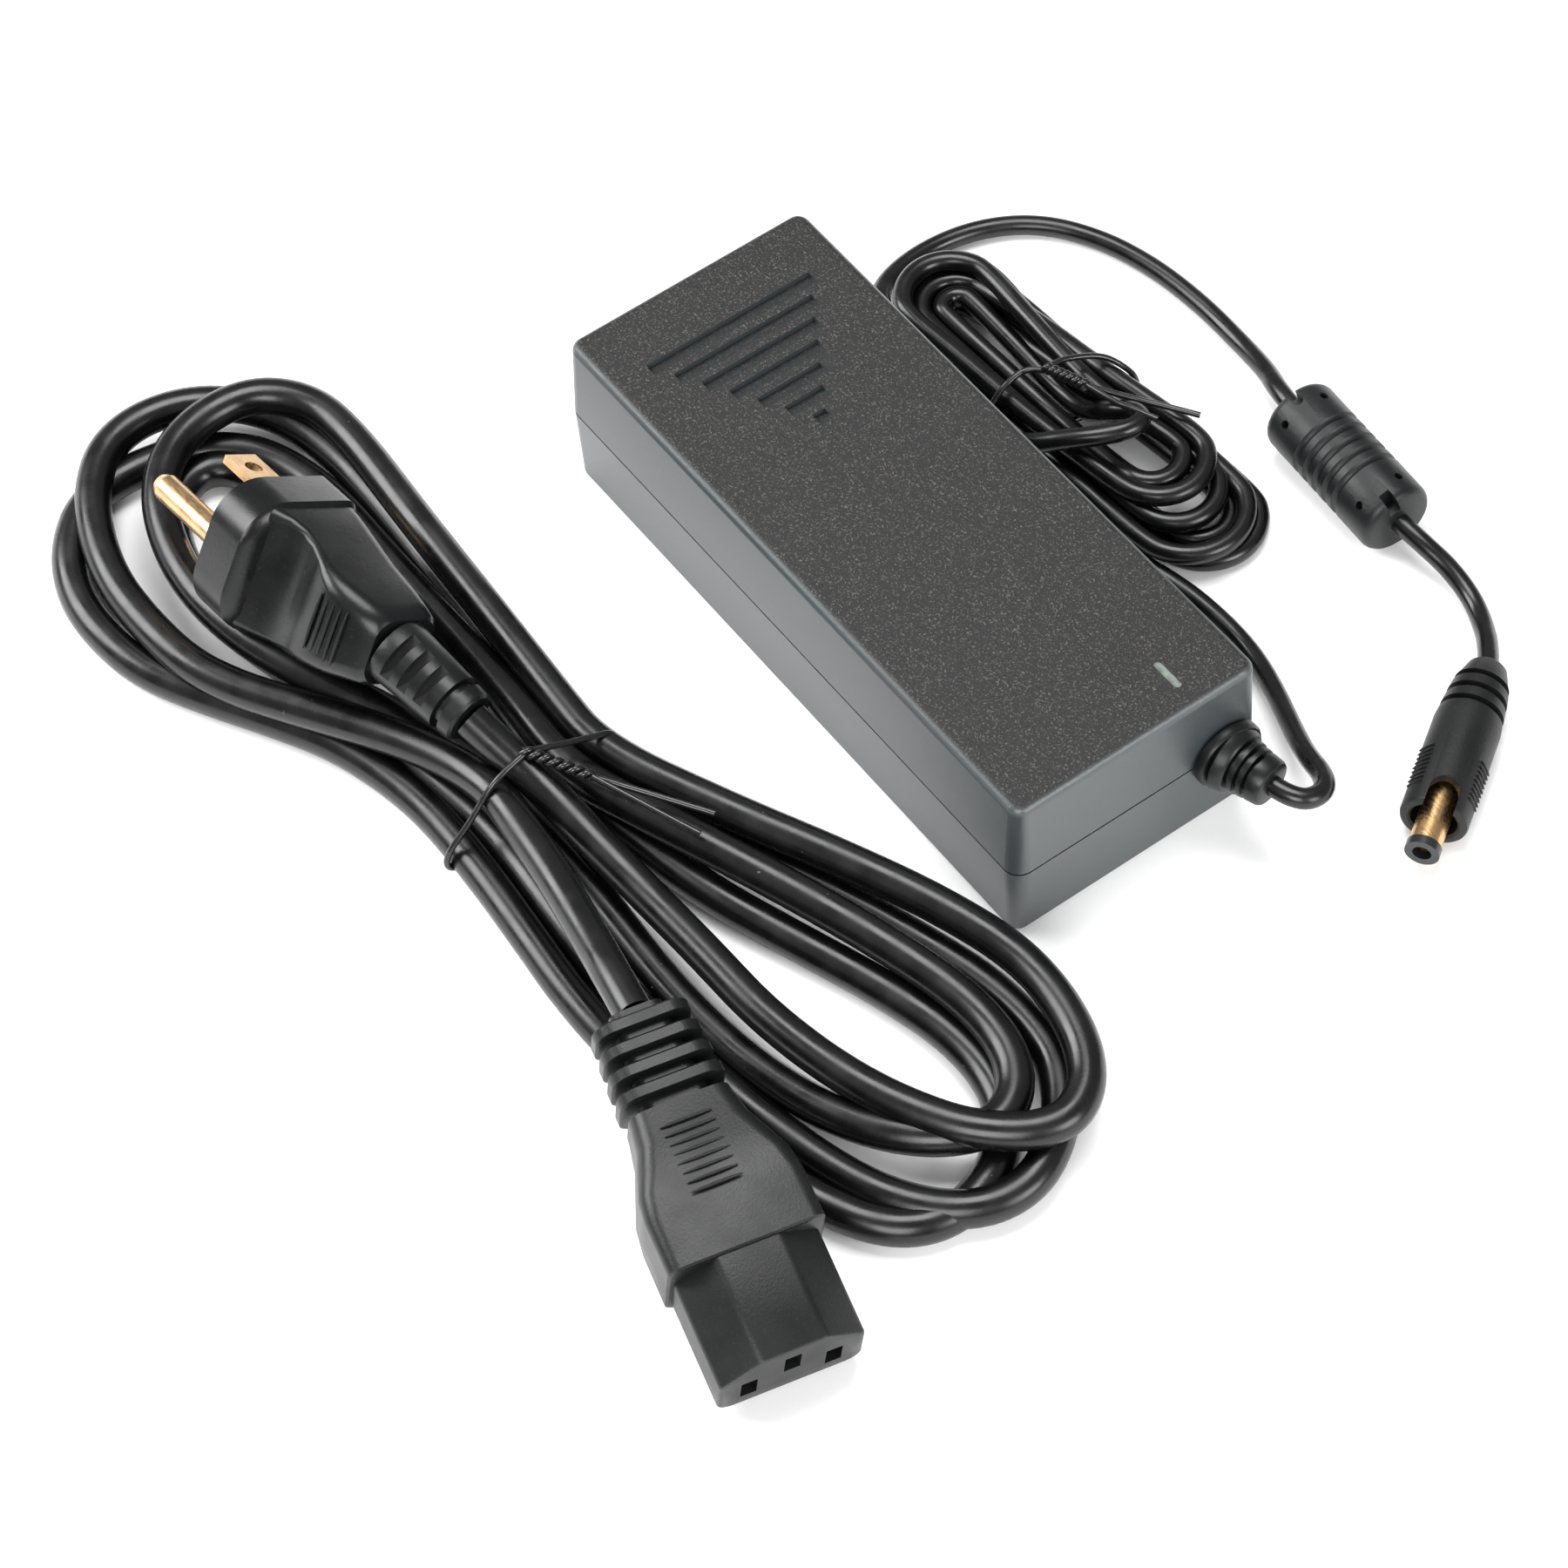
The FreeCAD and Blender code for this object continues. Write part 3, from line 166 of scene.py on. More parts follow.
def spark_eroded_abs():
    """ABS moulded in a spark-eroded tool: a fine speckle on top, its bright specks a painted sparkle; sides
    more satin and painted paler, as painted light.
    """
    colour = tuple(settings().case_colour)
    material, tree, shader, place = new_finish("spark_eroded_abs", IOR=1.52)
    normal = add(tree, "ShaderNodeSeparateXYZ", {"Vector": add(tree, "ShaderNodeTexCoord").outputs["Normal"]})
    flat = ramp(tree, normal.outputs["Z"], 0.75, 0.97, 0.0, 1.0)
    # the real grain is near 0.15 mm; it is drawn at 0.36 mm so that it shows
    grain = noise(tree, place, 0.36, 3.0, 0.7)
    speck = ramp(tree, grain.outputs["Fac"], 0.55, 0.70, 0.0, 1.0)
    # the grain is real, but its bright specks on upward faces are a painted sparkle, light caught by the
    # grain painted into the colour
    painted_sparkle = add(tree, "ShaderNodeMath", {0: speck, 1: flat}, operation="MULTIPLY")
    cloud = ramp(tree, noise(tree, place, 18.0, 2.0).outputs["Fac"], 0.3, 0.7, 0.0, 1.0)
    base = toned(tree, cloud, colour, 0.88, 1.1)
    bright = mix(tree, painted_sparkle.outputs[0], base, linear("#5c5854"))
    # painted light: the sides get a paler colour than the top, standing in for the light they catch from the
    # lamps and the floor
    side = mix(tree, flat, linear("#33383a"), bright)
    tree.links.new(side, shader.inputs["Base Color"])
    tree.links.new(ramp(tree, flat, 0.0, 1.0, 0.36, 0.52), shader.inputs["Roughness"])
    tree.links.new(ramp(tree, flat, 0.0, 1.0, 0.75, 0.38), shader.inputs["Specular IOR Level"])
    height = add(tree, "ShaderNodeMath", {0: grain.outputs["Fac"], 1: ramp(tree, flat, 0.0, 1.0, 0.35, 1.0)},
                 operation="MULTIPLY")
    bump(tree, shader, height.outputs[0], 0.8, 0.16)
    return material


def satin_pvc():
    """Extruded PVC jacket: satin black with faint long ripples, fine pits and a few specks of dust."""
    colour = tuple(settings().cord_colour)
    material, tree, shader, place = new_finish("satin_pvc_jacket", IOR=1.53, Specular_IOR_Level=0.42)
    ripple = noise(tree, place, 5.0, 2.0)
    pit = noise(tree, place, 0.55, 2.0, 0.6)
    dust = ramp(tree, noise(tree, place, 0.9, 1.0).outputs["Fac"], 0.80, 0.84, 0.0, 0.5)
    tone = toned(tree, ripple.outputs["Fac"], colour, 0.75, 1.35)
    tree.links.new(mix(tree, dust, tone, linear("#6d6a66")), shader.inputs["Base Color"])
    tree.links.new(ramp(tree, ripple.outputs["Fac"], 0.3, 0.7, 0.22, 0.34), shader.inputs["Roughness"])
    height = add(tree, "ShaderNodeMath", {0: pit.outputs["Fac"], 1: 0.35, 2: ripple.outputs["Fac"]},
                 operation="MULTIPLY_ADD")
    bump(tree, shader, height.outputs[0], 0.35, 0.08)
    return material


def moulded_pvc(name, colour, roughness, grain_mm, strength):
    """Moulded PVC: soft black with a fine even texture and slight tone changes where it was handled."""
    material, tree, shader, place = new_finish(name, IOR=1.53, Specular_IOR_Level=0.34)
    grain = noise(tree, place, grain_mm, 3.0, 0.6)
    patch = noise(tree, place, 9.0, 2.0)
    tone = toned(tree, patch.outputs["Fac"], colour, 0.8, 1.25)
    fleck = ramp(tree, grain.outputs["Fac"], 0.62, 0.76, 0.0, 0.35)
    tree.links.new(mix(tree, fleck, tone, linear("#3c3c3c")), shader.inputs["Base Color"])
    tree.links.new(ramp(tree, patch.outputs["Fac"], 0.3, 0.7, roughness - 0.05, roughness + 0.06),
                   shader.inputs["Roughness"])
    bump(tree, shader, grain.outputs["Fac"], strength, 0.1)
    return material


def drawn_metal(name, colour, tarnish, roughness):
    """Stamped and plated metal: fine draw lines along it, with a little tarnish in patches."""
    material, tree, shader, place = new_finish(name, Metallic=1.0)
    lines = add(tree, "ShaderNodeMapping", {"Vector": place, "Scale": (0.12, 1.0, 1.0)})
    scratch = noise(tree, lines.outputs["Vector"], 0.35, 2.0)
    patch = noise(tree, place, 3.0, 2.0)
    dull = ramp(tree, patch.outputs["Fac"], 0.45, 0.7, 0.0, 0.35)
    tree.links.new(mix(tree, dull, colour, tarnish), shader.inputs["Base Color"])
    tree.links.new(ramp(tree, scratch.outputs["Fac"], 0.3, 0.7, roughness - 0.06, roughness + 0.1),
                   shader.inputs["Roughness"])
    bump(tree, shader, scratch.outputs["Fac"], 0.25, 0.03)
    return material


def coated_wire():
    """Steel wire in a thin plastic coat: glossy black with slight unevenness from twisting."""
    material, tree, shader, place = new_finish("plastic_coated_wire", IOR=1.5, Roughness=0.22)
    wave = noise(tree, place, 1.2, 2.0)
    tree.links.new(mix(tree, wave.outputs["Fac"], linear("#0c0c0d"), linear("#1c1c1e")),
                   shader.inputs["Base Color"])
    bump(tree, shader, wave.outputs["Fac"], 0.4, 0.08)
    return material


def clear_acrylic():
    """Clear acrylic light pipe over an unlit lamp: glossy and dark, with pale patches that are a painted
    glint.
    """
    material, tree, shader, place = new_finish("clear_acrylic_light_pipe", IOR=1.49, Roughness=0.15)
    depth = noise(tree, place, 1.4, 2.0)
    # the pale tone mixed in by this noise is a painted glint
    tree.links.new(mix(tree, depth.outputs["Fac"], linear("#141715"), linear("#8e968f")),
                   shader.inputs["Base Color"])
    bump(tree, shader, depth.outputs["Fac"], 0.5, 0.15)
    return material


def plain_part(name, first, second, grain_mm, roughness, metallic=0.0):
    """A component's own finish: two close tones in a fine pattern, with the same pattern raised a little."""
    material, tree, shader, place = new_finish(name, Metallic=metallic, Roughness=roughness)
    grain = noise(tree, place, grain_mm, 3.0)
    tree.links.new(mix(tree, grain.outputs["Fac"], linear(first), linear(second)),
                   shader.inputs["Base Color"])
    bump(tree, shader, grain.outputs["Fac"], 0.3, 0.05)
    return material


# name, darker tone, lighter tone, grain in mm, roughness and, for a metal, how metallic it is
PLAIN_FINISHES = {
    # dark and slick, with a soft even reflection
    "film": ("blank_polyester_film", "#1d1f22", "#24272b", 0.6, 0.3),
    # dense black with a low sheen
    "inlet": ("moulded_nylon_inlet", "#121212", "#1b1b1b", 0.6, 0.38),
    # smooth black ring that sets off the gold sleeve
    "insulator": ("black_insulator", "#131515", "#202323", 0.5, 0.3),
    # green lacquer, darker where it lies over bare board
    "board": ("green_solder_mask", "#1b4f2e", "#246b3d", 3.0, 0.35),
    # pale straw paper with a dull, fibrous face
    "sheet": ("fish_paper", "#cfc7a4", "#e0dab8", 2.0, 0.55),
    # charcoal with the fine grain of pressed powder
    "ferrite": ("sintered_ferrite", "#2b2b2d", "#454548", 0.8, 0.5),
    # warm red-brown turns with a lacquered shine
    "copper": ("enamelled_copper", "#9a4c22", "#c06c35", 0.5, 0.3, 0.8),
    # bright yellow wrap, slightly glossy
    "tape": ("polyester_tape", "#caa62e", "#e3c553", 2.0, 0.3),
    # yellow box filled with resin, gently clouded
    "film_box": ("potted_film_capacitor", "#cfae2c", "#dcc04a", 1.5, 0.35),
    # dull black package with a fine pressed grain
    "epoxy": ("moulded_epoxy", "#161618", "#232326", 0.6, 0.45),
    # blue dipped coat, smooth and a little uneven
    "ceramic": ("dipped_ceramic", "#28488f", "#3560b4", 1.0, 0.3),
    # brown body with a low gloss
    "fuse": ("moulded_fuse_body", "#6b3d20", "#865030", 1.0, 0.4),
    # pale grey sheet with soft rolled reflections
    "aluminium": ("sheet_aluminium", "#b3b6b9", "#c8cacc", 0.4, 0.35, 1.0),
    # cool grey with a faint spangle
    "zinc": ("zinc_plated_steel", "#8f949a", "#b3b8bd", 0.6, 0.3, 1.0),
    # soft red jacket
    "red_wire": ("red_wire_insulation", "#8e1f18", "#b32d22", 0.6, 0.4),
    # pale green-white dome, nearly clear
    "lamp": ("clear_epoxy_lamp", "#b8d8b0", "#dff0da", 1.0, 0.15),
}

# name, clean tone, tarnished tone, roughness
METAL_FINISHES = {
    # pale yellow blades, browner where they were handled
    "brass": ("nickel_free_brass", "#cfae84", "#a3805a", 0.3),
    # warm, bright sleeve with a clean reflection
    "gold": ("gold_plated_brass", "#dcb482", "#c59a62", 0.28),
    # dull red-gold spring contacts
    "bronze": ("phosphor_bronze", "#b3915c", "#7b5a38", 0.35),
    # slightly warm silver with a clear shine
    "nickel": ("nickel_plate", "#c9c6bf", "#9b968c", 0.25),
}

# name, roughness, grain in mm, bump strength and, where it is not the plugs' own, its colour
PVC_FINISHES = {
    # soft black grip with an even grain
    "plug": ("moulded_pvc_plug", 0.46, 0.5, 0.4),
    # polished tool marks: clearer highlights and a weaker grain
    "plug_gloss": ("polished_pvc_plug", 0.27, 0.7, 0.2),
    # flexible rings with a satin edge
    "relief": ("moulded_pvc_relief", 0.36, 0.8, 0.25),
    # blue-black cover, a little coarser
    "bead": ("moulded_pvc_bead", 0.42, 0.7, 0.4, "#0d0f10"),
    # grey-black block with a fine matte face
    "socket": ("moulded_pvc_socket", 0.40, 0.45, 0.4, "#0b0c0d"),
}

OWN_MAKERS = {"case": spark_eroded_abs, "cord": satin_pvc, "wire": coated_wire, "light_pipe": clear_acrylic}
FINISHES = {}


def made_finish(name):
    """Make the material that a finish's name stands for."""
    if name in OWN_MAKERS:
        return OWN_MAKERS[name]()
    if name in METAL_FINISHES:
        title, clean, tarnish, roughness = METAL_FINISHES[name]
        return drawn_metal(title, linear(clean), linear(tarnish), roughness)
    if name in PVC_FINISHES:
        title, roughness, grain_mm, strength, *own = PVC_FINISHES[name]
        colour = linear(own[0]) if own else tuple(settings().plug_colour)
        return moulded_pvc(title, colour, roughness, grain_mm, strength)
    return plain_part(*PLAIN_FINISHES[name])


def finish(name):
    """A material made once and shared."""
    if name not in FINISHES:
        FINISHES[name] = made_finish(name)
    return FINISHES[name]


NODE_FINISH = {
    "upper_shell": "case", "lower_shell": "case", "rating_label": "film", "light_pipe": "light_pipe",
    "status_led": "lamp", "inlet_housing": "inlet", "inlet_pin_live": "nickel", "inlet_pin_neutral": "nickel",
    "inlet_pin_earth": "nickel", "circuit_board": "board", "insulating_sheet": "sheet", "fuse": "fuse",
    "varistor": "ceramic", "y_capacitors": "ceramic", "x_capacitor": "film_box", "choke_core": "ferrite",
    "transformer_core": "ferrite", "output_choke": "ferrite", "ferrite_core": "ferrite",
    "choke_winding": "copper", "transformer_winding": "tape", "transformer_bobbin": "epoxy",
    "bridge_rectifier": "epoxy", "bulk_capacitor": "epoxy", "switching_transistor": "epoxy",
    "output_rectifier": "epoxy", "output_capacitor_1": "epoxy", "output_capacitor_2": "epoxy",
    "optocoupler": "epoxy", "control_chip": "epoxy", "primary_heatsink": "aluminium",
    "secondary_heatsink": "aluminium", "heatsink_screws": "zinc", "output_wire_positive": "red_wire",
    "output_wire_negative": "epoxy", "dc_plug_sleeve": "gold", "dc_plug_tip_ring": "insulator",
    "dc_plug_contact": "bronze", "mains_socket_contacts": "bronze", "mains_blade_live": "brass",
    "mains_blade_neutral": "brass", "mains_ground_pin": "brass",
}


# ---------------------------------------------------------------- meshes and cords

def baked(item):
    """A plain mesh of an object as its modifiers leave it."""
    bpy.context.view_layer.update()
    return bpy.data.meshes.new_from_object(item.evaluated_get(bpy.context.evaluated_depsgraph_get()))


SMOOTH_BELOW = math.radians(35)


def new_mesh(name, material, build):
    """A mesh object made by a function that fills a bmesh, its normals facing out."""
    mesh = bpy.data.meshes.new(name)
    work = bmesh.new()
    build(work)
    bmesh.ops.remove_doubles(work, verts=work.verts, dist=1e-7)
    bmesh.ops.recalc_face_normals(work, faces=work.faces)
    work.to_mesh(mesh)
    work.free()
    mesh.materials.append(finish(material))
    item = bpy.data.objects.new(name, mesh)
    bpy.context.scene.collection.objects.link(item)
    mesh.shade_smooth()
    mesh.set_sharp_from_angle(angle=SMOOTH_BELOW)
    return item


def finished(item, body, slot, *nodes):
    """Ride a piece on its body, in place of its CAD nodes."""
    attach(item, body)
    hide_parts(*nodes)


def skin(work, rings, closed=False):
    """Join rings of points into a skin, capped at both ends unless it closes on itself."""
    made = [[work.verts.new(point) for point in ring] for ring in rings]
    count = len(made[0])
    pairs = list(zip(made, made[1:])) + ([(made[-1], made[0])] if closed else [])
    for first, second in pairs:
        for index in range(count):
            after = (index + 1) % count
            work.faces.new((first[index], first[after], second[after], second[index]))
    if not closed:
        work.faces.new(made[0])
        work.faces.new(made[-1])


def turned(work, profile, place, steps=72):
    """Turn a profile of stations and radii about the place's X axis."""
    rings = []
    for station, radius in profile:
        angles = [2 * math.pi * index / steps for index in range(steps)]
        rings.append([place @ Vector((station, radius * math.cos(angle), radius * math.sin(angle)))
                      for angle in angles])
    skin(work, rings)


def rounded_outline(corners, steps=6):
    """A closed outline through corners given as across, up and radius, each corner rounded."""
    points = []
    for index, (x, y, radius) in enumerate(corners):
        here = Vector((x, y))
        before = (Vector(corners[index - 1][:2]) - here).normalized()
        after = (Vector(corners[(index + 1) % len(corners)][:2]) - here).normalized()
        half = before.angle(after) / 2
        reach = radius / math.tan(half)
        centre = here + (before + after).normalized() * (radius / math.sin(half))
        start = here + before * reach - centre
        end = here + after * reach - centre
        turn = math.pi - 2 * half
        sign = 1 if start.x * end.y - start.y * end.x > 0 else -1
        for step in range(steps + 1):
            angle = sign * turn * step / steps
            points.append(centre + Vector((start.x * math.cos(angle) - start.y * math.sin(angle),
                                           start.x * math.sin(angle) + start.y * math.cos(angle))))
    return points


def add_strand(curve, points):
    """Add one smooth open NURBS line on its control points to a curve."""
    spline = curve.splines.new("NURBS")
    spline.points.add(len(points) - 1)
    for control, point in zip(spline.points, points):
        control.co = (*point, 1.0)
    spline.order_u = 3
    spline.use_endpoint_u = True
    spline.resolution_u = 8


def cord_curve(name, points, diameter, material):
    """A round cord on a smooth NURBS line near its route's control points."""
    curve = bpy.data.curves.new(name, "CURVE")
    curve.dimensions = "3D"
    add_strand(curve, points)
    curve.bevel_depth = diameter / 2
    curve.bevel_resolution = 6
    curve.use_fill_caps = True
    curve.materials.append(finish(material))
    item = bpy.data.objects.new(name, curve)
    bpy.context.scene.collection.objects.link(item)
    return item


def line_of(points, resolution=8):
    """The smooth line that a cord on these control points follows."""
    guide = cord_curve("guide", points, 0.0, "cord")
    guide.data.bevel_depth = 0.0
    guide.data.splines[0].resolution_u = resolution
    mesh = baked(guide)
    line = [vertex.co.copy() for vertex in mesh.vertices]
    bpy.data.meshes.remove(mesh)
    data = guide.data
    bpy.data.objects.remove(guide)
    bpy.data.curves.remove(data)
    return line


def length_of(points):
    """The length of the smooth line on these control points."""
    line = line_of(points)
    return sum((second - first).length for first, second in zip(line, line[1:]))


def cut(item, place, size, kind="box"):
    """Cut a box, or a drum standing on its place, out of a piece."""
    mesh = bpy.data.meshes.new("cutter")
    work = bmesh.new()
    if kind == "box":
        bmesh.ops.create_cube(work, size=1.0)
    else:
        bmesh.ops.create_cone(work, cap_ends=True, segments=24, radius1=0.5, radius2=0.5, depth=1.0)
    bmesh.ops.scale(work, vec=size, verts=work.verts)
    bmesh.ops.transform(work, matrix=place, verts=work.verts)
    work.to_mesh(mesh)
    work.free()
    mesh.materials.append(item.data.materials[0])
    cutter = bpy.data.objects.new("cutter", mesh)
    bpy.context.scene.collection.objects.link(cutter)
    modifier = item.modifiers.new("cut", "BOOLEAN")
    modifier.operation = "DIFFERENCE"
    modifier.object = cutter
    result = baked(item)
    item.modifiers.clear()
    item.data = result
    bpy.data.objects.remove(cutter)
    bpy.data.meshes.remove(mesh)


def ridge_tree(material):
    """A Geometry Nodes group that sets a row of soft ridges along X."""
    tree = bpy.data.node_groups.new("ridge_row", "GeometryNodeTree")
    face = tree.interface
    face.new_socket("Geometry", in_out="OUTPUT", socket_type="NodeSocketGeometry")
    face.new_socket("Count", in_out="INPUT", socket_type="NodeSocketInt")
    face.new_socket("Pitch", in_out="INPUT", socket_type="NodeSocketVector")
    face.new_socket("Ridge Size", in_out="INPUT", socket_type="NodeSocketVector")
    face.new_socket("Wear", in_out="INPUT", socket_type="NodeSocketFloat")
    asked = add(tree, "NodeGroupInput").outputs
    row = add(tree, "GeometryNodeMeshLine", {"Count": asked["Count"], "Offset": asked["Pitch"]})
    ball = add(tree, "GeometryNodeMeshUVSphere", {"Segments": 16, "Rings": 10, "Radius": 0.5})
    low = add(tree, "ShaderNodeMath", {0: 1.0, 1: asked["Wear"]}, operation="SUBTRACT")
    worn = add(tree, "FunctionNodeRandomValue", {"Min": low.outputs[0], "Max": 1.0, "Seed": 7},
               data_type="FLOAT")
    size = add(tree, "ShaderNodeVectorMath", {0: asked["Ridge Size"]}, operation="SCALE")
    tree.links.new(worn.outputs[1], size.inputs["Scale"])
    placed = add(tree, "GeometryNodeInstanceOnPoints",
                 {"Points": row.outputs[0], "Instance": ball.outputs[0], "Scale": size.outputs[0]})
    solid = add(tree, "GeometryNodeRealizeInstances", {"Geometry": placed.outputs[0]})
    done = add(tree, "GeometryNodeSetMaterial", {"Geometry": solid.outputs[0], "Material": material})
    add(tree, "NodeGroupOutput", {"Geometry": done.outputs[0]})
    return tree


def add_ridges(item, place, count, pitch, size, wear=0.06):
    """Add a row of soft moulded ridges to a piece, along its place's X axis."""
    material = item.data.materials[0]
    holder = bpy.data.objects.new("ridges", bpy.data.meshes.new("ridges"))
    bpy.context.scene.collection.objects.link(holder)
    modifier = holder.modifiers.new("ridges", "NODES")
    tree = ridge_tree(material)
    modifier.node_group = tree
    wanted = {"Count": count, "Pitch": (pitch, 0.0, 0.0), "Ridge Size": size, "Wear": wear}
    for socket in tree.interface.items_tree:
        if socket.in_out == "INPUT":
            modifier[socket.identifier] = wanted[socket.name]
    holder.update_tag()
    row = baked(holder)
    row.transform(place @ Matrix.Translation((-pitch * (count - 1) / 2, 0.0, 0.0)))
    work = bmesh.new()
    work.from_mesh(item.data)
    work.from_mesh(row)
    work.to_mesh(item.data)
    work.free()
    bpy.data.objects.remove(holder)
    item.data.shade_smooth()
    item.data.set_sharp_from_angle(angle=SMOOTH_BELOW)


def place_at(base, x, y, z, roll=0.0, pitch=0.0, yaw=0.0):
    """A place inside another, given in millimetres and degrees."""
    return (base @ Matrix.Translation((x * MM, y * MM, z * MM))
            @ Matrix.Rotation(math.radians(yaw), 4, "Z") @ Matrix.Rotation(math.radians(pitch), 4, "Y")
            @ Matrix.Rotation(math.radians(roll), 4, "X"))


def mm(*values):
    """Millimetres as metres."""
    return tuple(value * MM for value in values)


def box_section(low, high, half, near_round, far_round, station, place, steps=6):
    """One rounded cross-section, its Y side from low to high and its Z side half either way."""
    outline = rounded_outline([(low, -half, near_round), (high, -half, far_round),
                               (high, half, far_round), (low, half, near_round)], steps)
    return [place @ Vector(mm(station, point.x, point.y)) for point in outline]


# ---------------------------------------------------------------- output cord

OUTPUT_LEAD = [
    (0.0724, 0.0193, 0.0169), (0.0769, 0.0203, 0.0169), (0.0783, 0.0246, 0.0161), (0.0754, 0.0282, 0.0145),
    (0.0675, 0.0305, 0.0109), (0.0588, 0.0346, 0.0068), (0.0500, 0.0386, 0.0037), (0.0415, 0.0412, 0.0020),
    (0.0330, 0.0416, 0.0019), (0.0240, 0.0407, 0.0019), (0.0130, 0.0378, 0.0019), (0.0020, 0.0358, 0.0019)]
OUTPUT_RUN = [
    (-0.0500, 0.0362, 0.0040), (-0.0565, 0.0368, 0.0045), (-0.0612, 0.0420, 0.0026),
    (-0.0632, 0.0520, 0.0019), (-0.0613, 0.0630, 0.0019), (-0.0555, 0.0723, 0.0019),
    (-0.0460, 0.0785, 0.0019), (-0.0350, 0.0818, 0.0019), (-0.0230, 0.0830, 0.0019),
    (-0.0120, 0.0826, 0.0021), (-0.0030, 0.0809, 0.0044), (0.0032, 0.0784, 0.0066),
    (0.0096, 0.0776, 0.0069), (0.0233, 0.0768, 0.0069), (0.0369, 0.0759, 0.0069),
    (0.0433, 0.0766, 0.0060), (0.0492, 0.0780, 0.0038), (0.0555, 0.0776, 0.0023),
    (0.0614, 0.0750, 0.0027), (0.0662, 0.0716, 0.0048), (0.0699, 0.0682, 0.0060)]
HAIRPIN = [
    (-0.0090, 0.0500, 0.0105), (-0.0050, 0.0526, 0.0128), (-0.0016, 0.0522, 0.0138),
    (-0.0010, 0.0487, 0.0142), (-0.0032, 0.0439, 0.0140), (-0.0072, 0.0390, 0.0128),
    (-0.0110, 0.0356, 0.0104), (-0.0160, 0.0344, 0.0076), (-0.0240, 0.0343, 0.0056),
    (-0.0360, 0.0348, 0.0056)]
TIE_ALONG = -0.017
STEP_OUT = 0.011
STEP_BACK = 0.010
# each pass of the cord under the tie: near side across and up, then far side across and up
OUTPUT_PASSES = (
    (0.0356, 0.0019, 0.0588, 0.0019), (0.0393, 0.0019, 0.0574, 0.0054), (0.0376, 0.0054, 0.0551, 0.0019),
    (0.0430, 0.0019, 0.0537, 0.0054), (0.0414, 0.0055, 0.0562, 0.0089), (0.0396, 0.0090, 0.0522, 0.0089),
    (0.0467, 0.0024, 0.0504, 0.0026))
# each turn at the left end: reach, near and far edges, height
OUTPUT_LEFT = (
    (-0.0570, 0.0358, 0.0575, 0.0019), (-0.0535, 0.0392, 0.0540, 0.0019), (-0.0562, 0.0372, 0.0566, 0.0054),
    (-0.0500, 0.0425, 0.0506, 0.0022), (-0.0528, 0.0400, 0.0530, 0.0057), (-0.0554, 0.0366, 0.0543, 0.0090),
    (-0.0490, 0.0436, 0.0496, 0.0058))
# each turn at the right end: reach, near and far edges, height
OUTPUT_RIGHT = (
    (0.0238, 0.0430, 0.0632, 0.0019), (0.0229, 0.0398, 0.0613, 0.0050), (0.0186, 0.0466, 0.0590, 0.0020),
    (0.0160, 0.0432, 0.0592, 0.0056), (0.0118, 0.0426, 0.0604, 0.0086), (0.0076, 0.0452, 0.0566, 0.0082))


def end_turn(reach, near, far, height, side, steps=7):
    """One U-turn: side -1 goes from near to far at the left, +1 from far to near at the right."""
    middle, half = (near + far) / 2, (far - near) / 2
    # a little deeper than a half circle, as a springy cord bends
    deep = 1.05 * half
    points = []
    for step in range(steps):
        angle = math.pi * (step + 0.5) / steps
        points.append((reach - side * deep + side * deep * math.sin(angle),
                       middle + side * half * math.cos(angle), height))
    return points


def output_route():
    """The whole output cord: lead, seven passes and a folded end in the hank, then the run to the plug."""
    points = list(OUTPUT_LEAD)
    for index, (near, near_up, far, far_up) in enumerate(OUTPUT_PASSES):
        left = OUTPUT_LEFT[index]
        points.append((TIE_ALONG, near, near_up))
        points.append(((TIE_ALONG + left[0]) / 2, (near + left[1]) / 2, (near_up + left[3]) / 2))
        points += end_turn(*left, -1)
        points.append(((TIE_ALONG + left[0]) / 2, (far + left[2]) / 2, (far_up + left[3]) / 2))
        points.append((TIE_ALONG, far, far_up))
        if index < len(OUTPUT_RIGHT):
            right = OUTPUT_RIGHT[index]
            points.append((TIE_ALONG + STEP_OUT, (far + right[2]) / 2, (far_up + right[3]) / 2))
            points += end_turn(*right, 1)
            after = OUTPUT_PASSES[index + 1]
            points.append((TIE_ALONG + STEP_BACK, (after[0] + right[1]) / 2, (after[1] + right[3]) / 2))
    return points + HAIRPIN + OUTPUT_RUN


def twisted(knot, phase, turns=3.5, radius=0.62 * MM):
    """One wire of a twisted pair that winds about the line of its knot."""
    middle = line_of(knot, 14)
    along = (middle[-1] - middle[0]).normalized()
    side = along.cross(Vector((0, 0, 1))).normalized()
    lift = side.cross(along)
    wire = []
    for index, point in enumerate(middle):
        angle = phase + 2 * math.pi * turns * index / (len(middle) - 1)
        wire.append(tuple(point + (side * math.cos(angle) + lift * math.sin(angle)) * radius))
    return wire


def axis_place(origin, along, up=(0.0, 0.0, 1.0)):
    """A frame at a point with X along a direction and Z as near as can be to up."""
    x = Vector(along).normalized()
    y = Vector(up).cross(x).normalized()
    z = x.cross(y)
    return Matrix.Translation(origin) @ Matrix((x, y, z)).transposed().to_4x4()


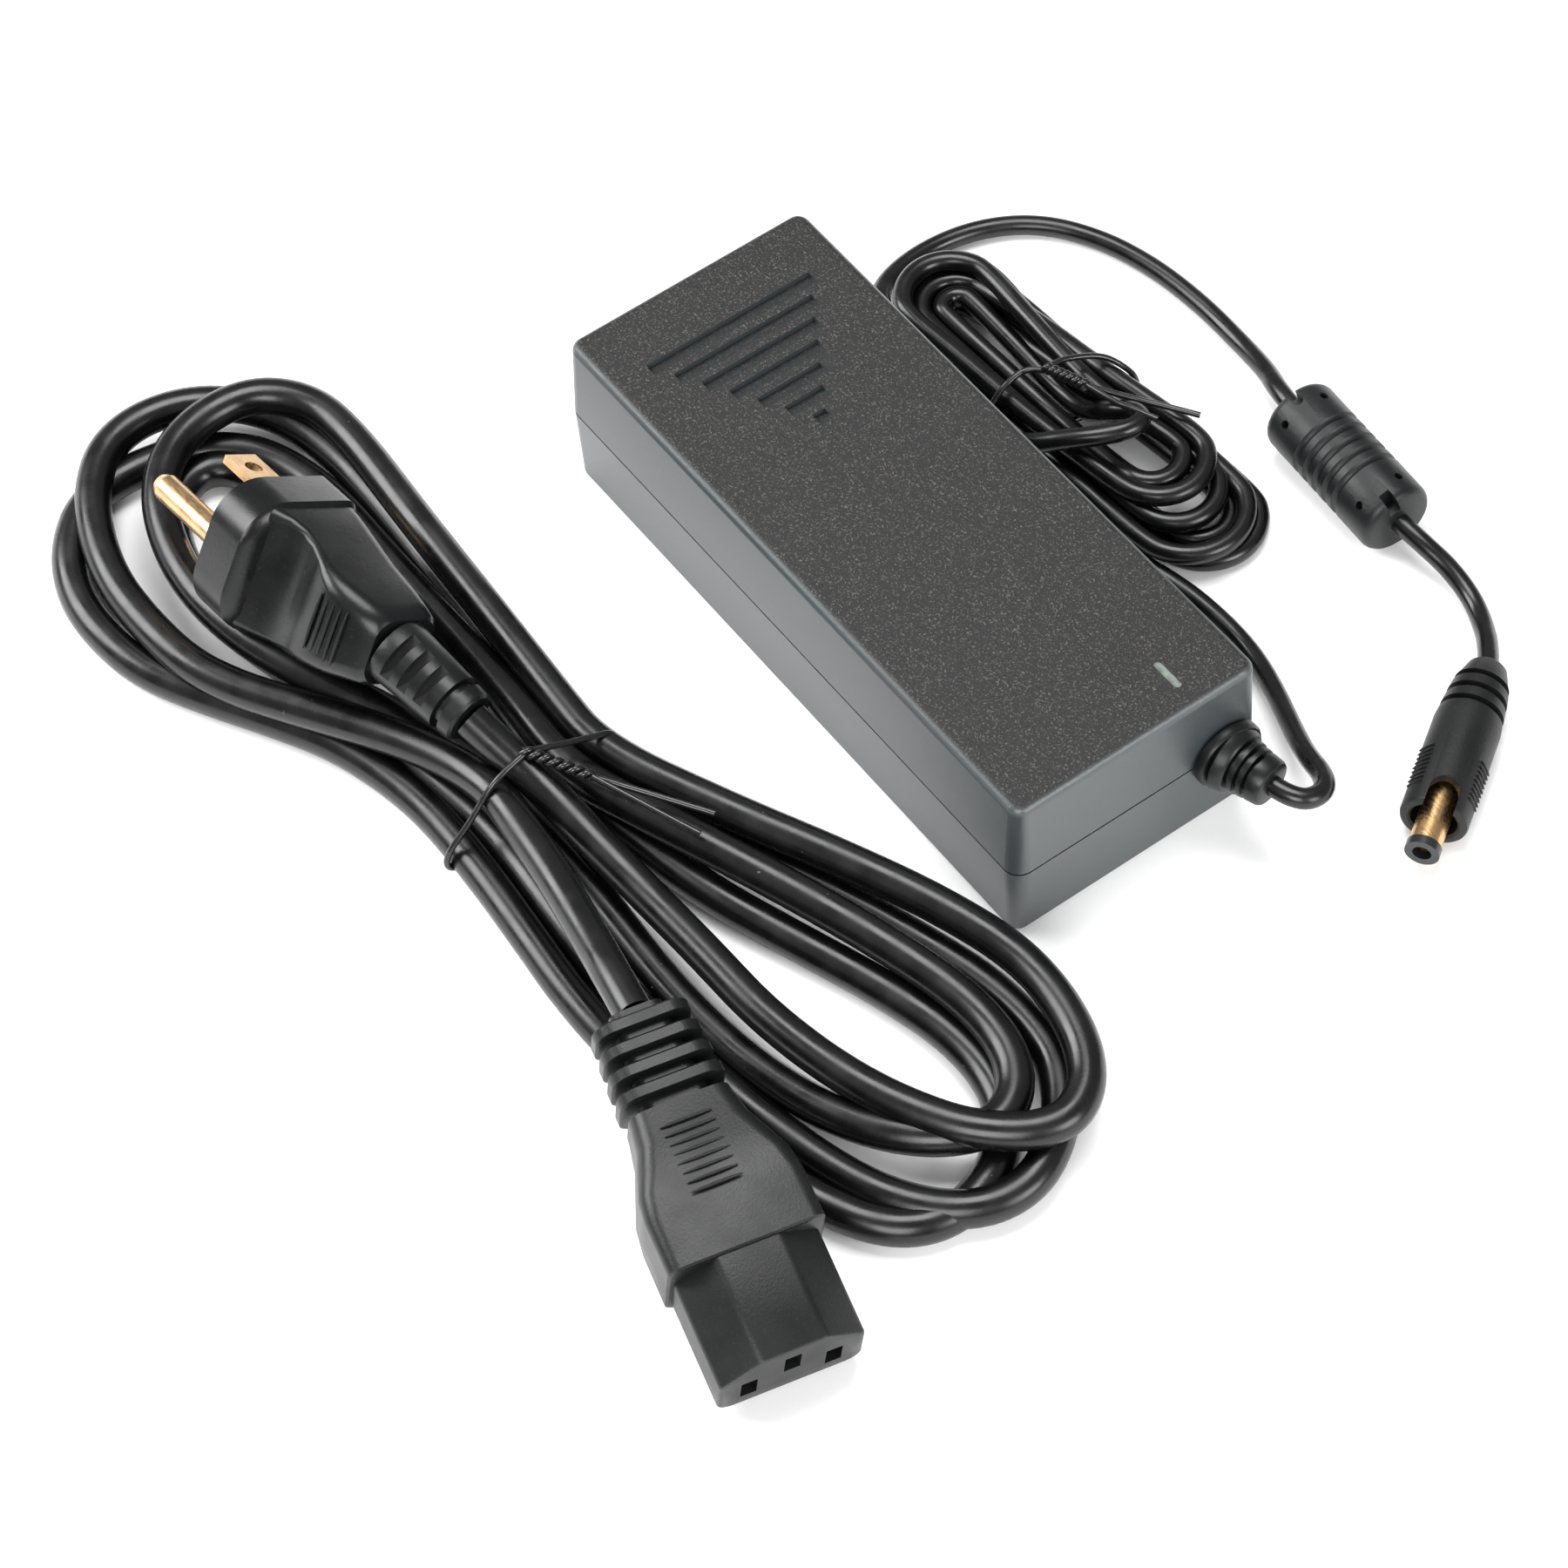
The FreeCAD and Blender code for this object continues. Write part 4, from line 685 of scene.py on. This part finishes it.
BEAD = Matrix.Translation((0.0086, 0.0777, 0.00695)) @ Matrix.Rotation(math.radians(-3.7), 4, "Z")
BARREL = Matrix.Translation((0.0699, 0.0682, 0.0060)) @ Matrix.Rotation(math.radians(-56.6), 4, "Z")
SOCKET = (Matrix.Translation((0.1072, -0.1028, 0.0087)) @ Matrix.Rotation(math.radians(-13), 4, "Z")
          @ Matrix.Rotation(math.radians(11.5), 4, "Y"))
PRONG = Vector((-0.985, -0.03, -0.15)).normalized()
TOWARDS_BLADES = Vector((0.05, 0.83, -0.55))
TOWARDS_BLADES = (TOWARDS_BLADES - PRONG * TOWARDS_BLADES.dot(PRONG)).normalized()
WALL_PLUG = (Matrix.Translation((-0.0680, -0.0798, 0.0166))
             @ Matrix((PRONG, TOWARDS_BLADES, PRONG.cross(TOWARDS_BLADES))).transposed().to_4x4())


# ---------------------------------------------------------------- mains cord

MAINS_LEAD = [
    tuple(SOCKET @ Vector((-0.062, 0.0, 0.0))), (0.0399, -0.0875, 0.0204), (0.0324, -0.0857, 0.0185),
    (0.0240, -0.0839, 0.0170), (0.0150, -0.0822, 0.0158), (0.0050, -0.0807, 0.0144),
    (-0.0054, -0.0793, 0.0130), (-0.0154, -0.0807, 0.0112), (-0.0256, -0.0846, 0.0098)]
MAINS_TAIL = [
    (0.0224, -0.0705, 0.0098), (0.0116, -0.0716, 0.0114), (0.0026, -0.0725, 0.0132),
    (-0.0048, -0.0737, 0.0150), (-0.0106, -0.0753, 0.0174), (-0.01565, -0.0766, 0.0196)]
# the hank's lobes each side of its tie, in millimetres, one row of control points for each
LEFT_LOBES = (
    ((-34.8, -89.6, 9.0), (-43.8, -94.8, 8.2), (-53, -100, 7.6), (-62, -103.4, 7.4), (-73.1, -104.4, 7.2),
     (-84.3, -104, 7), (-94.8, -101, 6.8), (-103.9, -96.2, 6.6), (-110.4, -89.7, 6.6), (-112.4, -80.8, 6.6),
     (-109.4, -70.5, 6.4), (-101, -61.5, 5.5), (-88, -57.4, 4.6), (-70, -57.2, 3.9), (-50, -58.5, 3.4),
     (-26, -59.5, 3.3), (-4, -60, 3.3)),
    ((-20, -82.5, 3.3), (-36, -84.6, 3.3), (-50, -88, 3.3), (-64, -91.5, 3.3), (-78, -92.4, 3.3),
     (-90, -89.6, 3.3), (-97.6, -83, 3.3), (-98.4, -75.6, 3.3), (-92, -70.6, 3.3), (-78, -69.4, 3.3),
     (-60, -70, 3.3), (-40, -69, 3.3), (-20, -67.4, 3.3), (-4, -66.5, 3.3)),
    ((-19, -86.8, 3.3), (-34.7, -90.6, 3.3), (-46, -96.6, 3.3), (-58.1, -103.8, 3.3), (-68.2, -108.8, 3.3),
     (-79.7, -110.4, 3.3), (-89.1, -109.4, 3.3), (-98, -105.2, 3.3), (-105, -97.4, 3.3), (-106, -86, 3.2),
     (-103, -75, 3.2), (-95, -66.6, 3.2), (-80, -63, 3.3), (-60, -63.4, 3.4), (-40, -63.4, 5.0),
     (-20, -65.2, 8.4), (-4, -66.6, 9.7)),
    ((-18, -76.4, 4.4), (-32, -82.4, 8), (-46, -89.4, 9.6), (-61, -94.4, 10), (-77.3, -94.9, 10),
     (-93.3, -89.6, 10), (-102.5, -79.6, 10), (-103.6, -65.4, 10), (-96.1, -57, 10), (-85, -55.2, 10),
     (-61.1, -57.1, 10.2), (-38.5, -58.2, 10), (-18, -59.4, 9.8), (-4, -60, 9.7)))
RIGHT_LOBES = (
    ((16, -53.4, 3.3), (36, -44.6, 3.3), (54, -38.6, 3.4), (70, -34.6, 4), (84, -34.8, 4.6), (93, -39.4, 5),
     (99, -45.9, 5), (102, -53, 4.6), (101, -60.8, 4.2), (95.5, -68, 4), (85, -74, 3.6), (68, -78.4, 3.4),
     (50, -81.2, 3.4), (33, -82.6, 3.4), (16.5, -82, 3.4), (-4, -80.3, 3.3)),
    ((10, -63.2, 3.3), (26, -60, 3.3), (42, -54.4, 3.3), (58, -48.6, 3.3), (72, -45, 3.3),
     (84, -45.4, 3.3), (92, -50, 3.3), (97.5, -58, 3.3), (98.6, -67.5, 3.3), (93.9, -75.4, 3.3),
     (83, -81, 3.3), (66, -85.8, 3.3), (48, -88.6, 3.3), (30.5, -89.4, 3.3), (13, -87.8, 3.3),
     (-4, -86.6, 3.3)),
    ((14, -60, 9.7), (34, -52.2, 9.2), (54, -45.2, 8.6), (70, -41, 8), (82, -41.4, 8), (89.6, -46, 8),
     (92, -53, 8), (87, -62, 7.6), (76, -69.4, 6), (60, -74.2, 4.4), (40, -76, 3.5), (20, -75, 3.3),
     (-4, -73.9, 3.3)),
    ((18.5, -50.4, 9.7), (37.7, -41.2, 9.7), (53.8, -34.4, 9.7), (69.1, -29.9, 9.7), (82.4, -30.4, 9.8),
     (93.3, -34.4, 10), (98.4, -40.8, 10), (98, -47, 10), (94, -53, 10), (87.4, -58.8, 10), (73.4, -65.4, 10),
     (55.5, -69.2, 9.8), (38, -69.6, 9.7)))


def mains_route():
    """The whole mains cord: from the socket through the tie, four lobes each side, to the wall plug."""
    points = list(MAINS_LEAD)
    for left, right in zip(LEFT_LOBES, RIGHT_LOBES):
        points += [tuple(MM * value for value in point) for point in left + right]
    return points + MAINS_TAIL


# ---------------------------------------------------------------- operators

class ADAPTER_OT_case(bpy.types.Operator):
    """Give the brick's shells, label, light pipe, inlet and inner parts their finishes"""
    bl_idname = "adapter.case"
    bl_label = "Brick and Inner Parts"

    def execute(self, context):
        for name, kind in NODE_FINISH.items():
            mesh = NODES[name].data
            mesh.materials.clear()
            mesh.materials.append(finish(kind))
        return {"FINISHED"}


class ADAPTER_OT_output_cord(bpy.types.Operator):
    """Lay the output cord with its tied hank"""
    bl_idname = "adapter.output_cord"
    bl_label = "Output Cord"

    def execute(self, context):
        route = output_route()
        diameter = settings().output_cord
        item = cord_curve("output_cord", route, diameter, "cord")
        finished(item, BRICK, "soft_black", "dc_cord_lead", "dc_cord_coil", "dc_cord_run", "dc_cord_tail")
        length_of(route)
        return {"FINISHED"}


class ADAPTER_OT_mains_cord(bpy.types.Operator):
    """Lay the mains cord with its tied hank"""
    bl_idname = "adapter.mains_cord"
    bl_label = "Mains Cord"

    def execute(self, context):
        route = mains_route()
        diameter = settings().mains_cord
        item = cord_curve("mains_cord", route, diameter, "cord")
        finished(item, CORD_SET, "soft_black", "mains_cord_lead", "mains_cord_hank", "mains_cord_tail")
        length_of(route)
        return {"FINISHED"}


class ADAPTER_OT_output_ends(bpy.types.Operator):
    """Make the output cord's strain relief, ferrite bead and barrel plug"""
    bl_idname = "adapter.output_ends"
    bl_label = "Output Cord Fittings"

    def execute(self, context):
        root = Matrix.Translation(mm(64.4, 17.6, 16.9))
        bent = place_at(root, 0, 0, 0, yaw=12.3)
        collar = ((-6.8, 5.0), (-4.6, 5.0), (-4.6, 4.45), (-2.35, 4.45), (-2.3, 6.1), (-2.0, 6.5),
                  (-0.9, 6.5), (-0.4, 6.2), (0.0, 5.2))
        rings = ((-0.8, 5.0), (-0.7, 5.9), (-0.4, 6.1), (1.3, 5.7), (1.7, 5.3), (1.8, 4.1), (2.4, 4.0),
                 (2.5, 4.9), (3.2, 4.8), (3.3, 3.6), (3.9, 3.5), (4.0, 4.6), (4.7, 4.5), (4.8, 3.2),
                 (5.4, 3.1), (5.5, 4.4), (7.4, 4.2), (7.9, 3.9), (8.2, 3.2))

        def boot(work):
            turned(work, [mm(*pair) for pair in collar], root)
            turned(work, [mm(*pair) for pair in rings], bent)

        item = new_mesh("output_strain_relief", "relief", boot)
        finished(item, BRICK, "soft_black", "dc_strain_relief")

        bead = place_at(BEAD, 0, 0, 0, roll=16)
        length, radius, pitch = 29.4, 6.9, 2.7
        profile = [(0.0, 2.2), (0.0, 5.7), (0.35, 6.3), (0.9, 6.7), (1.6, radius)]
        count = settings().bead_grooves
        for index in range(count):
            start = length / 2 - pitch * (count - 1) / 2 - 0.7 + pitch * index
            profile += [(start, radius), (start + 0.3, radius - 0.42), (start + 0.7, radius - 0.62),
                        (start + 1.1, radius - 0.42), (start + 1.4, radius)]
        profile += [(length - 1.6, radius), (length - 0.9, 6.7), (length - 0.35, 6.3), (length, 5.7),
                    (length, 2.2)]
        item = new_mesh("ferrite_bead", "bead",
                        lambda work: turned(work, [mm(*pair) for pair in profile], bead))
        for near, inward in ((0.0, 1), (length, -1)):
            cut(item, place_at(bead, near + inward * 1.0, 0, 5.4), mm(2.9, 2.1, 4.4))
            cut(item, place_at(bead, near + inward * 2.4, 0, 5.4), mm(2.1, 2.1, 4.4), "drum")
            for side in (-1, 1):
                tilt = place_at(bead, near + inward * 4.1, 0, 0, roll=side * 37.5)
                cut(item, place_at(tilt, 0, 0, 6.2), mm(1.5, 1.5, 3.0), "drum")
        finished(item, BRICK, "bead_black", "ferrite_cover")

        body = ((0.0, 1.9), (0.1, 2.9), (0.6, 3.4), (3.2, 4.3), (4.1, 4.7), (4.25, 3.7), (5.15, 3.7),
                (5.3, 4.9), (7.1, 5.15), (7.25, 4.1), (8.15, 4.1), (8.3, 5.25), (10.1, 5.45), (10.25, 4.4),
                (11.15, 4.4), (11.3, 5.55), (13.0, 5.75), (32.3, 5.8), (32.8, 5.65), (33.0, 5.3),
                (33.0, 4.4), (32.7, 4.0), (26.0, 4.0), (26.0, 0.8))
        item = new_mesh("barrel_plug_body", "plug",
                        lambda work: turned(work, [mm(*pair) for pair in body], BARREL))
        front = place_at(BARREL, 0, 0, 0, roll=-8)
        cut(item, place_at(front, 32.2, 0, 4.5), mm(4.6, 5.2, 9.0))
        cut(item, place_at(front, 30.0, 0, 4.5), mm(5.2, 5.2, 9.0), "drum")
        for side in (-1, 1):
            comb = place_at(front, 25.2, 0, 0, roll=-side * 62)
            add_ridges(item, place_at(comb, 0, 0, 5.72), 9, 0.95 * MM, mm(0.5, 4.2, 0.7))
        finished(item, BRICK, "plug_black", "dc_plug_body")
        return {"FINISHED"}


class ADAPTER_OT_mains_socket(bpy.types.Operator):
    """Make the mains cord's three-hole socket with its ringed relief"""
    bl_idname = "adapter.mains_socket"
    bl_label = "Mains Socket"

    def execute(self, context):
        def nose_ring(station, shrink):
            half, low, high = 12.0 - shrink, -8.0 + shrink, 8.0 - shrink
            shoulder = 2.8 - shrink * 0.5
            corners = [(-half, low, 2.2), (half, low, 2.2), (half, shoulder, 1.5),
                       (5.4 - shrink, high, 2.2), (shrink - 5.4, high, 2.2), (-half, shoulder, 1.5)]
            return [SOCKET @ Vector(mm(station, point.x, point.y))
                    for point in rounded_outline(corners, 5)]

        def block_ring(station, across, high, radius):
            return box_section(-across, across, high, radius, radius, station, SOCKET)

        def build(work):
            skin(work, [nose_ring(-19.0, 0.0), nose_ring(-0.5, 0.0), nose_ring(-0.15, 0.18),
                        nose_ring(0.0, 0.5)])
            grip = [(-18.0, 12.6, 8.3, 2.0), (-18.3, 13.0, 8.7, 2.2), (-27.0, 13.0, 8.7, 2.4),
                    (-31.0, 12.5, 8.6, 2.8), (-35.0, 11.0, 8.1, 3.2), (-39.0, 9.4, 7.2, 3.2),
                    (-43.0, 8.6, 6.4, 3.0), (-44.6, 8.4, 6.1, 3.0)]
            skin(work, [block_ring(*ring) for ring in grip])
            skin(work, [block_ring(-44.0, 5.6, 4.2, 2.0), block_ring(-62.0, 4.4, 3.8, 2.0)])
            for index in range(4):
                near = -46.6 - 3.9 * index
                across, tall = 8.8 - 0.25 * index, 6.3 - 0.25 * index
                skin(work, [block_ring(near, across - 0.5, tall - 0.5, 3.0),
                            block_ring(near - 0.3, across, tall, 3.4),
                            block_ring(near - 1.9, across, tall, 3.4),
                            block_ring(near - 2.3, across - 0.5, tall - 0.5, 3.0)])
            skin(work, [block_ring(-60.6, 7.0, 5.2, 3.2), block_ring(-62.0, 6.2, 4.6, 3.2)])

        item = new_mesh("mains_socket", "socket", build)
        for across, up in ((-7.0, -2.0), (0.0, 2.0), (7.0, -2.0)):
            cut(item, place_at(SOCKET, -7.9, across, up), mm(18.0, 2.7, 5.6))
        add_ridges(item, place_at(SOCKET, -34.6, -0.6, 8.14, pitch=-9.5), 8, 1.75 * MM,
                   mm(0.6, 9.0, 0.9))
        finished(item, CORD_SET, "socket_grey", "mains_socket_body")
        return {"FINISHED"}


class ADAPTER_OT_wall_plug(bpy.types.Operator):
    """Make the three-pin wall plug with its scooped grips and slotted relief"""
    bl_idname = "adapter.wall_plug"
    bl_label = "Wall Plug"

    def execute(self, context):
        # each section: station, low and high edges, half width, near and far corner rounding
        front = ((0.0, -16.0, 6.0, 12.0, 7.6, 2.6), (-0.4, -16.4, 6.4, 12.4, 8.0, 3.0),
                 (-8.6, -16.4, 6.4, 12.4, 8.0, 3.0), (-9.1, -15.9, 6.2, 12.0, 7.6, 3.0),
                 (-10.0, -13.0, 5.6, 10.6, 5.0, 3.0))
        back = ((-7.0, -13.5, 6.2, 11.8, 3.0, 3.0), (-9.5, -12.6, 6.2, 11.6, 2.2, 3.0),
                (-12.0, -10.6, 6.2, 11.3, 1.5, 3.2), (-15.0, -9.4, 6.2, 10.8, 1.2, 3.4),
                (-18.0, -9.3, 6.1, 10.2, 1.2, 3.4), (-21.0, -10.0, 6.0, 9.6, 1.5, 3.4),
                (-24.0, -10.8, 6.0, 9.0, 2.2, 3.4), (-27.0, -10.9, 6.0, 8.5, 3.0, 3.2),
                (-30.0, -10.2, 6.0, 8.0, 3.4, 3.0), (-33.0, -8.8, 6.0, 7.3, 3.6, 3.0),
                (-35.4, -7.4, 6.1, 6.7, 3.4, 3.4), (-36.2, -6.6, 5.6, 6.0, 3.4, 3.4))

        def build(work):
            for part in (front, back):
                skin(work, [box_section(low, high, half, near, far, station, WALL_PLUG, 8)
                            for station, low, high, half, near, far in part])

        item = new_mesh("wall_plug", "plug_gloss", build)
        add_ridges(item, place_at(WALL_PLUG, -28.6, -10.5, 0, yaw=-12, roll=90), 5, 1.5 * MM,
                   mm(0.65, 11.0, 1.0))
        finished(item, CORD_SET, "plug_black", "mains_plug_body")

        start, end = Vector(mm(-32.4, -79.3, 22.3)), Vector(mm(-15.655, -76.608, 19.609))
        relief = axis_place(start, end - start, up=(0.3, -0.45, 0.84))
        length = (end - start).length / MM
        profile = ((-1.2, 5.0), (-0.9, 5.7), (0.2, 5.9), (12.9, 5.2), (13.1, 4.0), (14.2, 3.9), (14.4, 5.0),
                   (length - 0.6, 4.8), (length - 0.1, 4.3), (length, 3.4))
        item = new_mesh("wall_plug_relief", "relief",
                        lambda work: turned(work, [mm(*pair) for pair in profile], relief))
        for index in range(3):
            for side in (-1, 1):
                cut(item, place_at(relief, 2.6 + 3.6 * index, 0, side * 6.2), mm(1.9, 14.0, 4.6))
        finished(item, CORD_SET, "soft_black", "mains_plug_relief")
        return {"FINISHED"}


class ADAPTER_OT_ties(bpy.types.Operator):
    """Twist the two coated wire ties round the hanks"""
    bl_idname = "adapter.ties"
    bl_label = "Wire Ties"

    def execute(self, context):
        output_loop = ((-20.0, 45.2, 14.4), (-22.5, 43.4, 14.2), (-22.6, 39.6, 13.4), (-22.4, 36.6, 11.6),
                       (-21.8, 33.6, 8.4), (-21.0, 32.6, 4.0), (-20.0, 33.4, 0.9), (-18.5, 40.0, 0.6),
                       (-17.0, 50.0, 0.6), (-15.6, 58.0, 0.7), (-14.2, 61.0, 2.6), (-13.9, 60.8, 7.0),
                       (-15.7, 58.6, 10.4), (-18.0, 56.3, 12.2), (-19.5, 52.4, 13.4), (-20.5, 48.1, 14.4))
        output_knot = ((-20.4, 45.6, 14.6), (-16.8, 46.8, 15.0), (-12.8, 48.6, 14.8))
        output_tails = (((-12.8, 48.6, 14.8), (-7.4, 53.4, 13.2), (-2.0, 58.0, 12.4), (2.6, 61.2, 12.2)),
                        ((-12.8, 48.6, 14.8), (-8.0, 50.0, 14.4), (-3.6, 51.4, 15.2), (0.6, 53.4, 15.0)))
        mains_loop = ((-4.9, -73.2, 19.2), (-4.4, -77.0, 18.8), (-4.0, -81.4, 16.9), (-4.0, -85.6, 11.0),
                      (-4.0, -90.6, 6.4), (-4.0, -90.8, 2.2), (-4.0, -86.0, 0.6), (-4.0, -73.0, 0.6),
                      (-4.0, -60.0, 0.6), (-4.0, -56.0, 2.2), (-4.0, -55.8, 8.0), (-4.0, -57.0, 12.4),
                      (-4.2, -61.0, 14.0), (-4.4, -66.4, 16.4), (-4.6, -70.4, 18.4))
        mains_knot = ((-5.4, -73.4, 19.4), (-1.0, -70.4, 18.6), (4.2, -66.6, 17.0))
        mains_tails = (((4.2, -66.6, 17.0), (10.0, -61.6, 15.4), (20.4, -54.0, 14.0)),
                       ((4.2, -66.6, 17.0), (12.0, -63.0, 15.6), (22.4, -58.4, 14.4)))
        for name, body, node, loop, knot, tails in (
                ("output_cord_tie", BRICK, "dc_cord_tie", output_loop, output_knot, output_tails),
                ("mains_cord_tie_wire", CORD_SET, "mains_cord_tie", mains_loop, mains_knot, mains_tails)):
            item = cord_curve(name, [mm(*point) for point in (*loop, loop[0])], settings().tie_wire, "wire")
            for tail in tails:
                add_strand(item.data, [mm(*point) for point in tail])
            for phase in (0, math.pi):
                add_strand(item.data, twisted([mm(*point) for point in knot], phase))
            finished(item, body, "tie_wire", node)
        return {"FINISHED"}


# each soft light: name, place, width in metres, power in watts
LIGHTS = (
    ("overhead_box", (-0.25, 0.15, 1.3), 0.7, 15.0),
    ("near_box", (0.9, -1.0, 0.9), 0.8, 18.0),
    ("left_box", (-0.9, -0.7, 0.8), 0.8, 22.0),
    ("end_box", (1.3, 0.3, 0.6), 0.6, 12.0),
)
CAMERA_SPOT = (0.4275, -0.3171, 0.7006)
CAMERA_RIGHT = (0.5935, 0.8044, -0.0274)
CAMERA_DOWN = (0.646, -0.496, -0.580)
CAMERA_LENS = 119.56


class ADAPTER_OT_stage(bpy.types.Operator):
    """Set the floor, the soft lights and the camera"""
    bl_idname = "adapter.stage"
    bl_label = "Floor, Lights and Camera"

    def execute(self, context):
        scene = context.scene
        mesh = bpy.data.meshes.new("floor")
        half = 3.0
        mesh.from_pydata([(-half, -half, 0), (half, -half, 0), (half, half, 0), (-half, half, 0)],
                         [], [(0, 1, 2, 3)])
        floor = bpy.data.objects.new("floor", mesh)
        scene.collection.objects.link(floor)
        material, tree, shader, place = new_finish("white_paper", Roughness=0.9)
        fibre = noise(tree, place, 2.0, 3.0)
        tree.links.new(mix(tree, fibre.outputs["Fac"], linear("#f6f6f6"), linear("#fafafa")),
                       shader.inputs["Base Color"])
        mesh.materials.append(material)

        world = bpy.data.worlds.new("soft_room")
        world.use_nodes = True
        tree = world.node_tree
        tree.nodes.clear()
        place = add(tree, "ShaderNodeTexCoord").outputs["Generated"]
        up = add(tree, "ShaderNodeSeparateXYZ", {"Vector": place}).outputs["Z"]
        level = ramp(tree, up, 0.1, 0.9, 0.3, 0.42)
        glow = add(tree, "ShaderNodeBackground", {"Color": (1.0, 1.0, 1.0, 1.0), "Strength": level})
        add(tree, "ShaderNodeOutputWorld", {"Surface": glow.outputs["Background"]})
        scene.world = world

        for name, spot, size, power in LIGHTS:
            light = bpy.data.lights.new(name, "AREA")
            light.size = size
            light.energy = power
            lamp = bpy.data.objects.new(name, light)
            lamp.location = spot
            # each lamp faces the origin
            lamp.rotation_euler = Vector(spot).to_track_quat("Z", "Y").to_euler()
            scene.collection.objects.link(lamp)

        camera_data = bpy.data.cameras.new("camera")
        camera_data.sensor_width = 36.0
        camera_data.lens = CAMERA_LENS
        camera_data.clip_start = 0.01
        camera = bpy.data.objects.new("camera", camera_data)
        right, down = Vector(CAMERA_RIGHT), Vector(CAMERA_DOWN)
        forward = right.cross(down).normalized()
        down = forward.cross(right).normalized()
        turn = Matrix((right.normalized(), -down, -forward)).transposed()
        camera.matrix_world = Matrix.Translation(CAMERA_SPOT) @ turn.to_4x4()
        scene.collection.objects.link(camera)
        scene.camera = camera
        scene.view_settings.view_transform = "Standard"
        return {"FINISHED"}


class ADAPTER_PT_panel(bpy.types.Panel):
    """Lists the adapter's pieces"""
    bl_idname = "ADAPTER_PT_panel"
    bl_label = "Laptop Power Adapter"
    bl_space_type = "VIEW_3D"
    bl_region_type = "UI"
    bl_category = "Adapter"

    def draw(self, context):
        for name in AdapterSettings.__annotations__:
            self.layout.prop(context.scene.adapter, name)
        for operator in OPERATORS:
            self.layout.operator(operator.bl_idname)


OPERATORS = (ADAPTER_OT_case, ADAPTER_OT_output_ends, ADAPTER_OT_mains_socket, ADAPTER_OT_wall_plug,
             ADAPTER_OT_ties, ADAPTER_OT_output_cord, ADAPTER_OT_mains_cord, ADAPTER_OT_stage)
CLASSES = (AdapterSettings, *OPERATORS, ADAPTER_PT_panel)


def register():
    """Register every class and the settings."""
    for item in CLASSES:
        bpy.utils.register_class(item)
    bpy.types.Scene.adapter = PointerProperty(type=AdapterSettings)


def unregister():
    """Take the settings and every class away again."""
    del bpy.types.Scene.adapter
    for item in reversed(CLASSES):
        bpy.utils.unregister_class(item)


def main():
    """Build the whole adapter."""
    register()
    for operator in OPERATORS:
        group, name = operator.bl_idname.split(".")
        getattr(getattr(bpy.ops, group), name)()


if __name__ == "__main__":
    main()
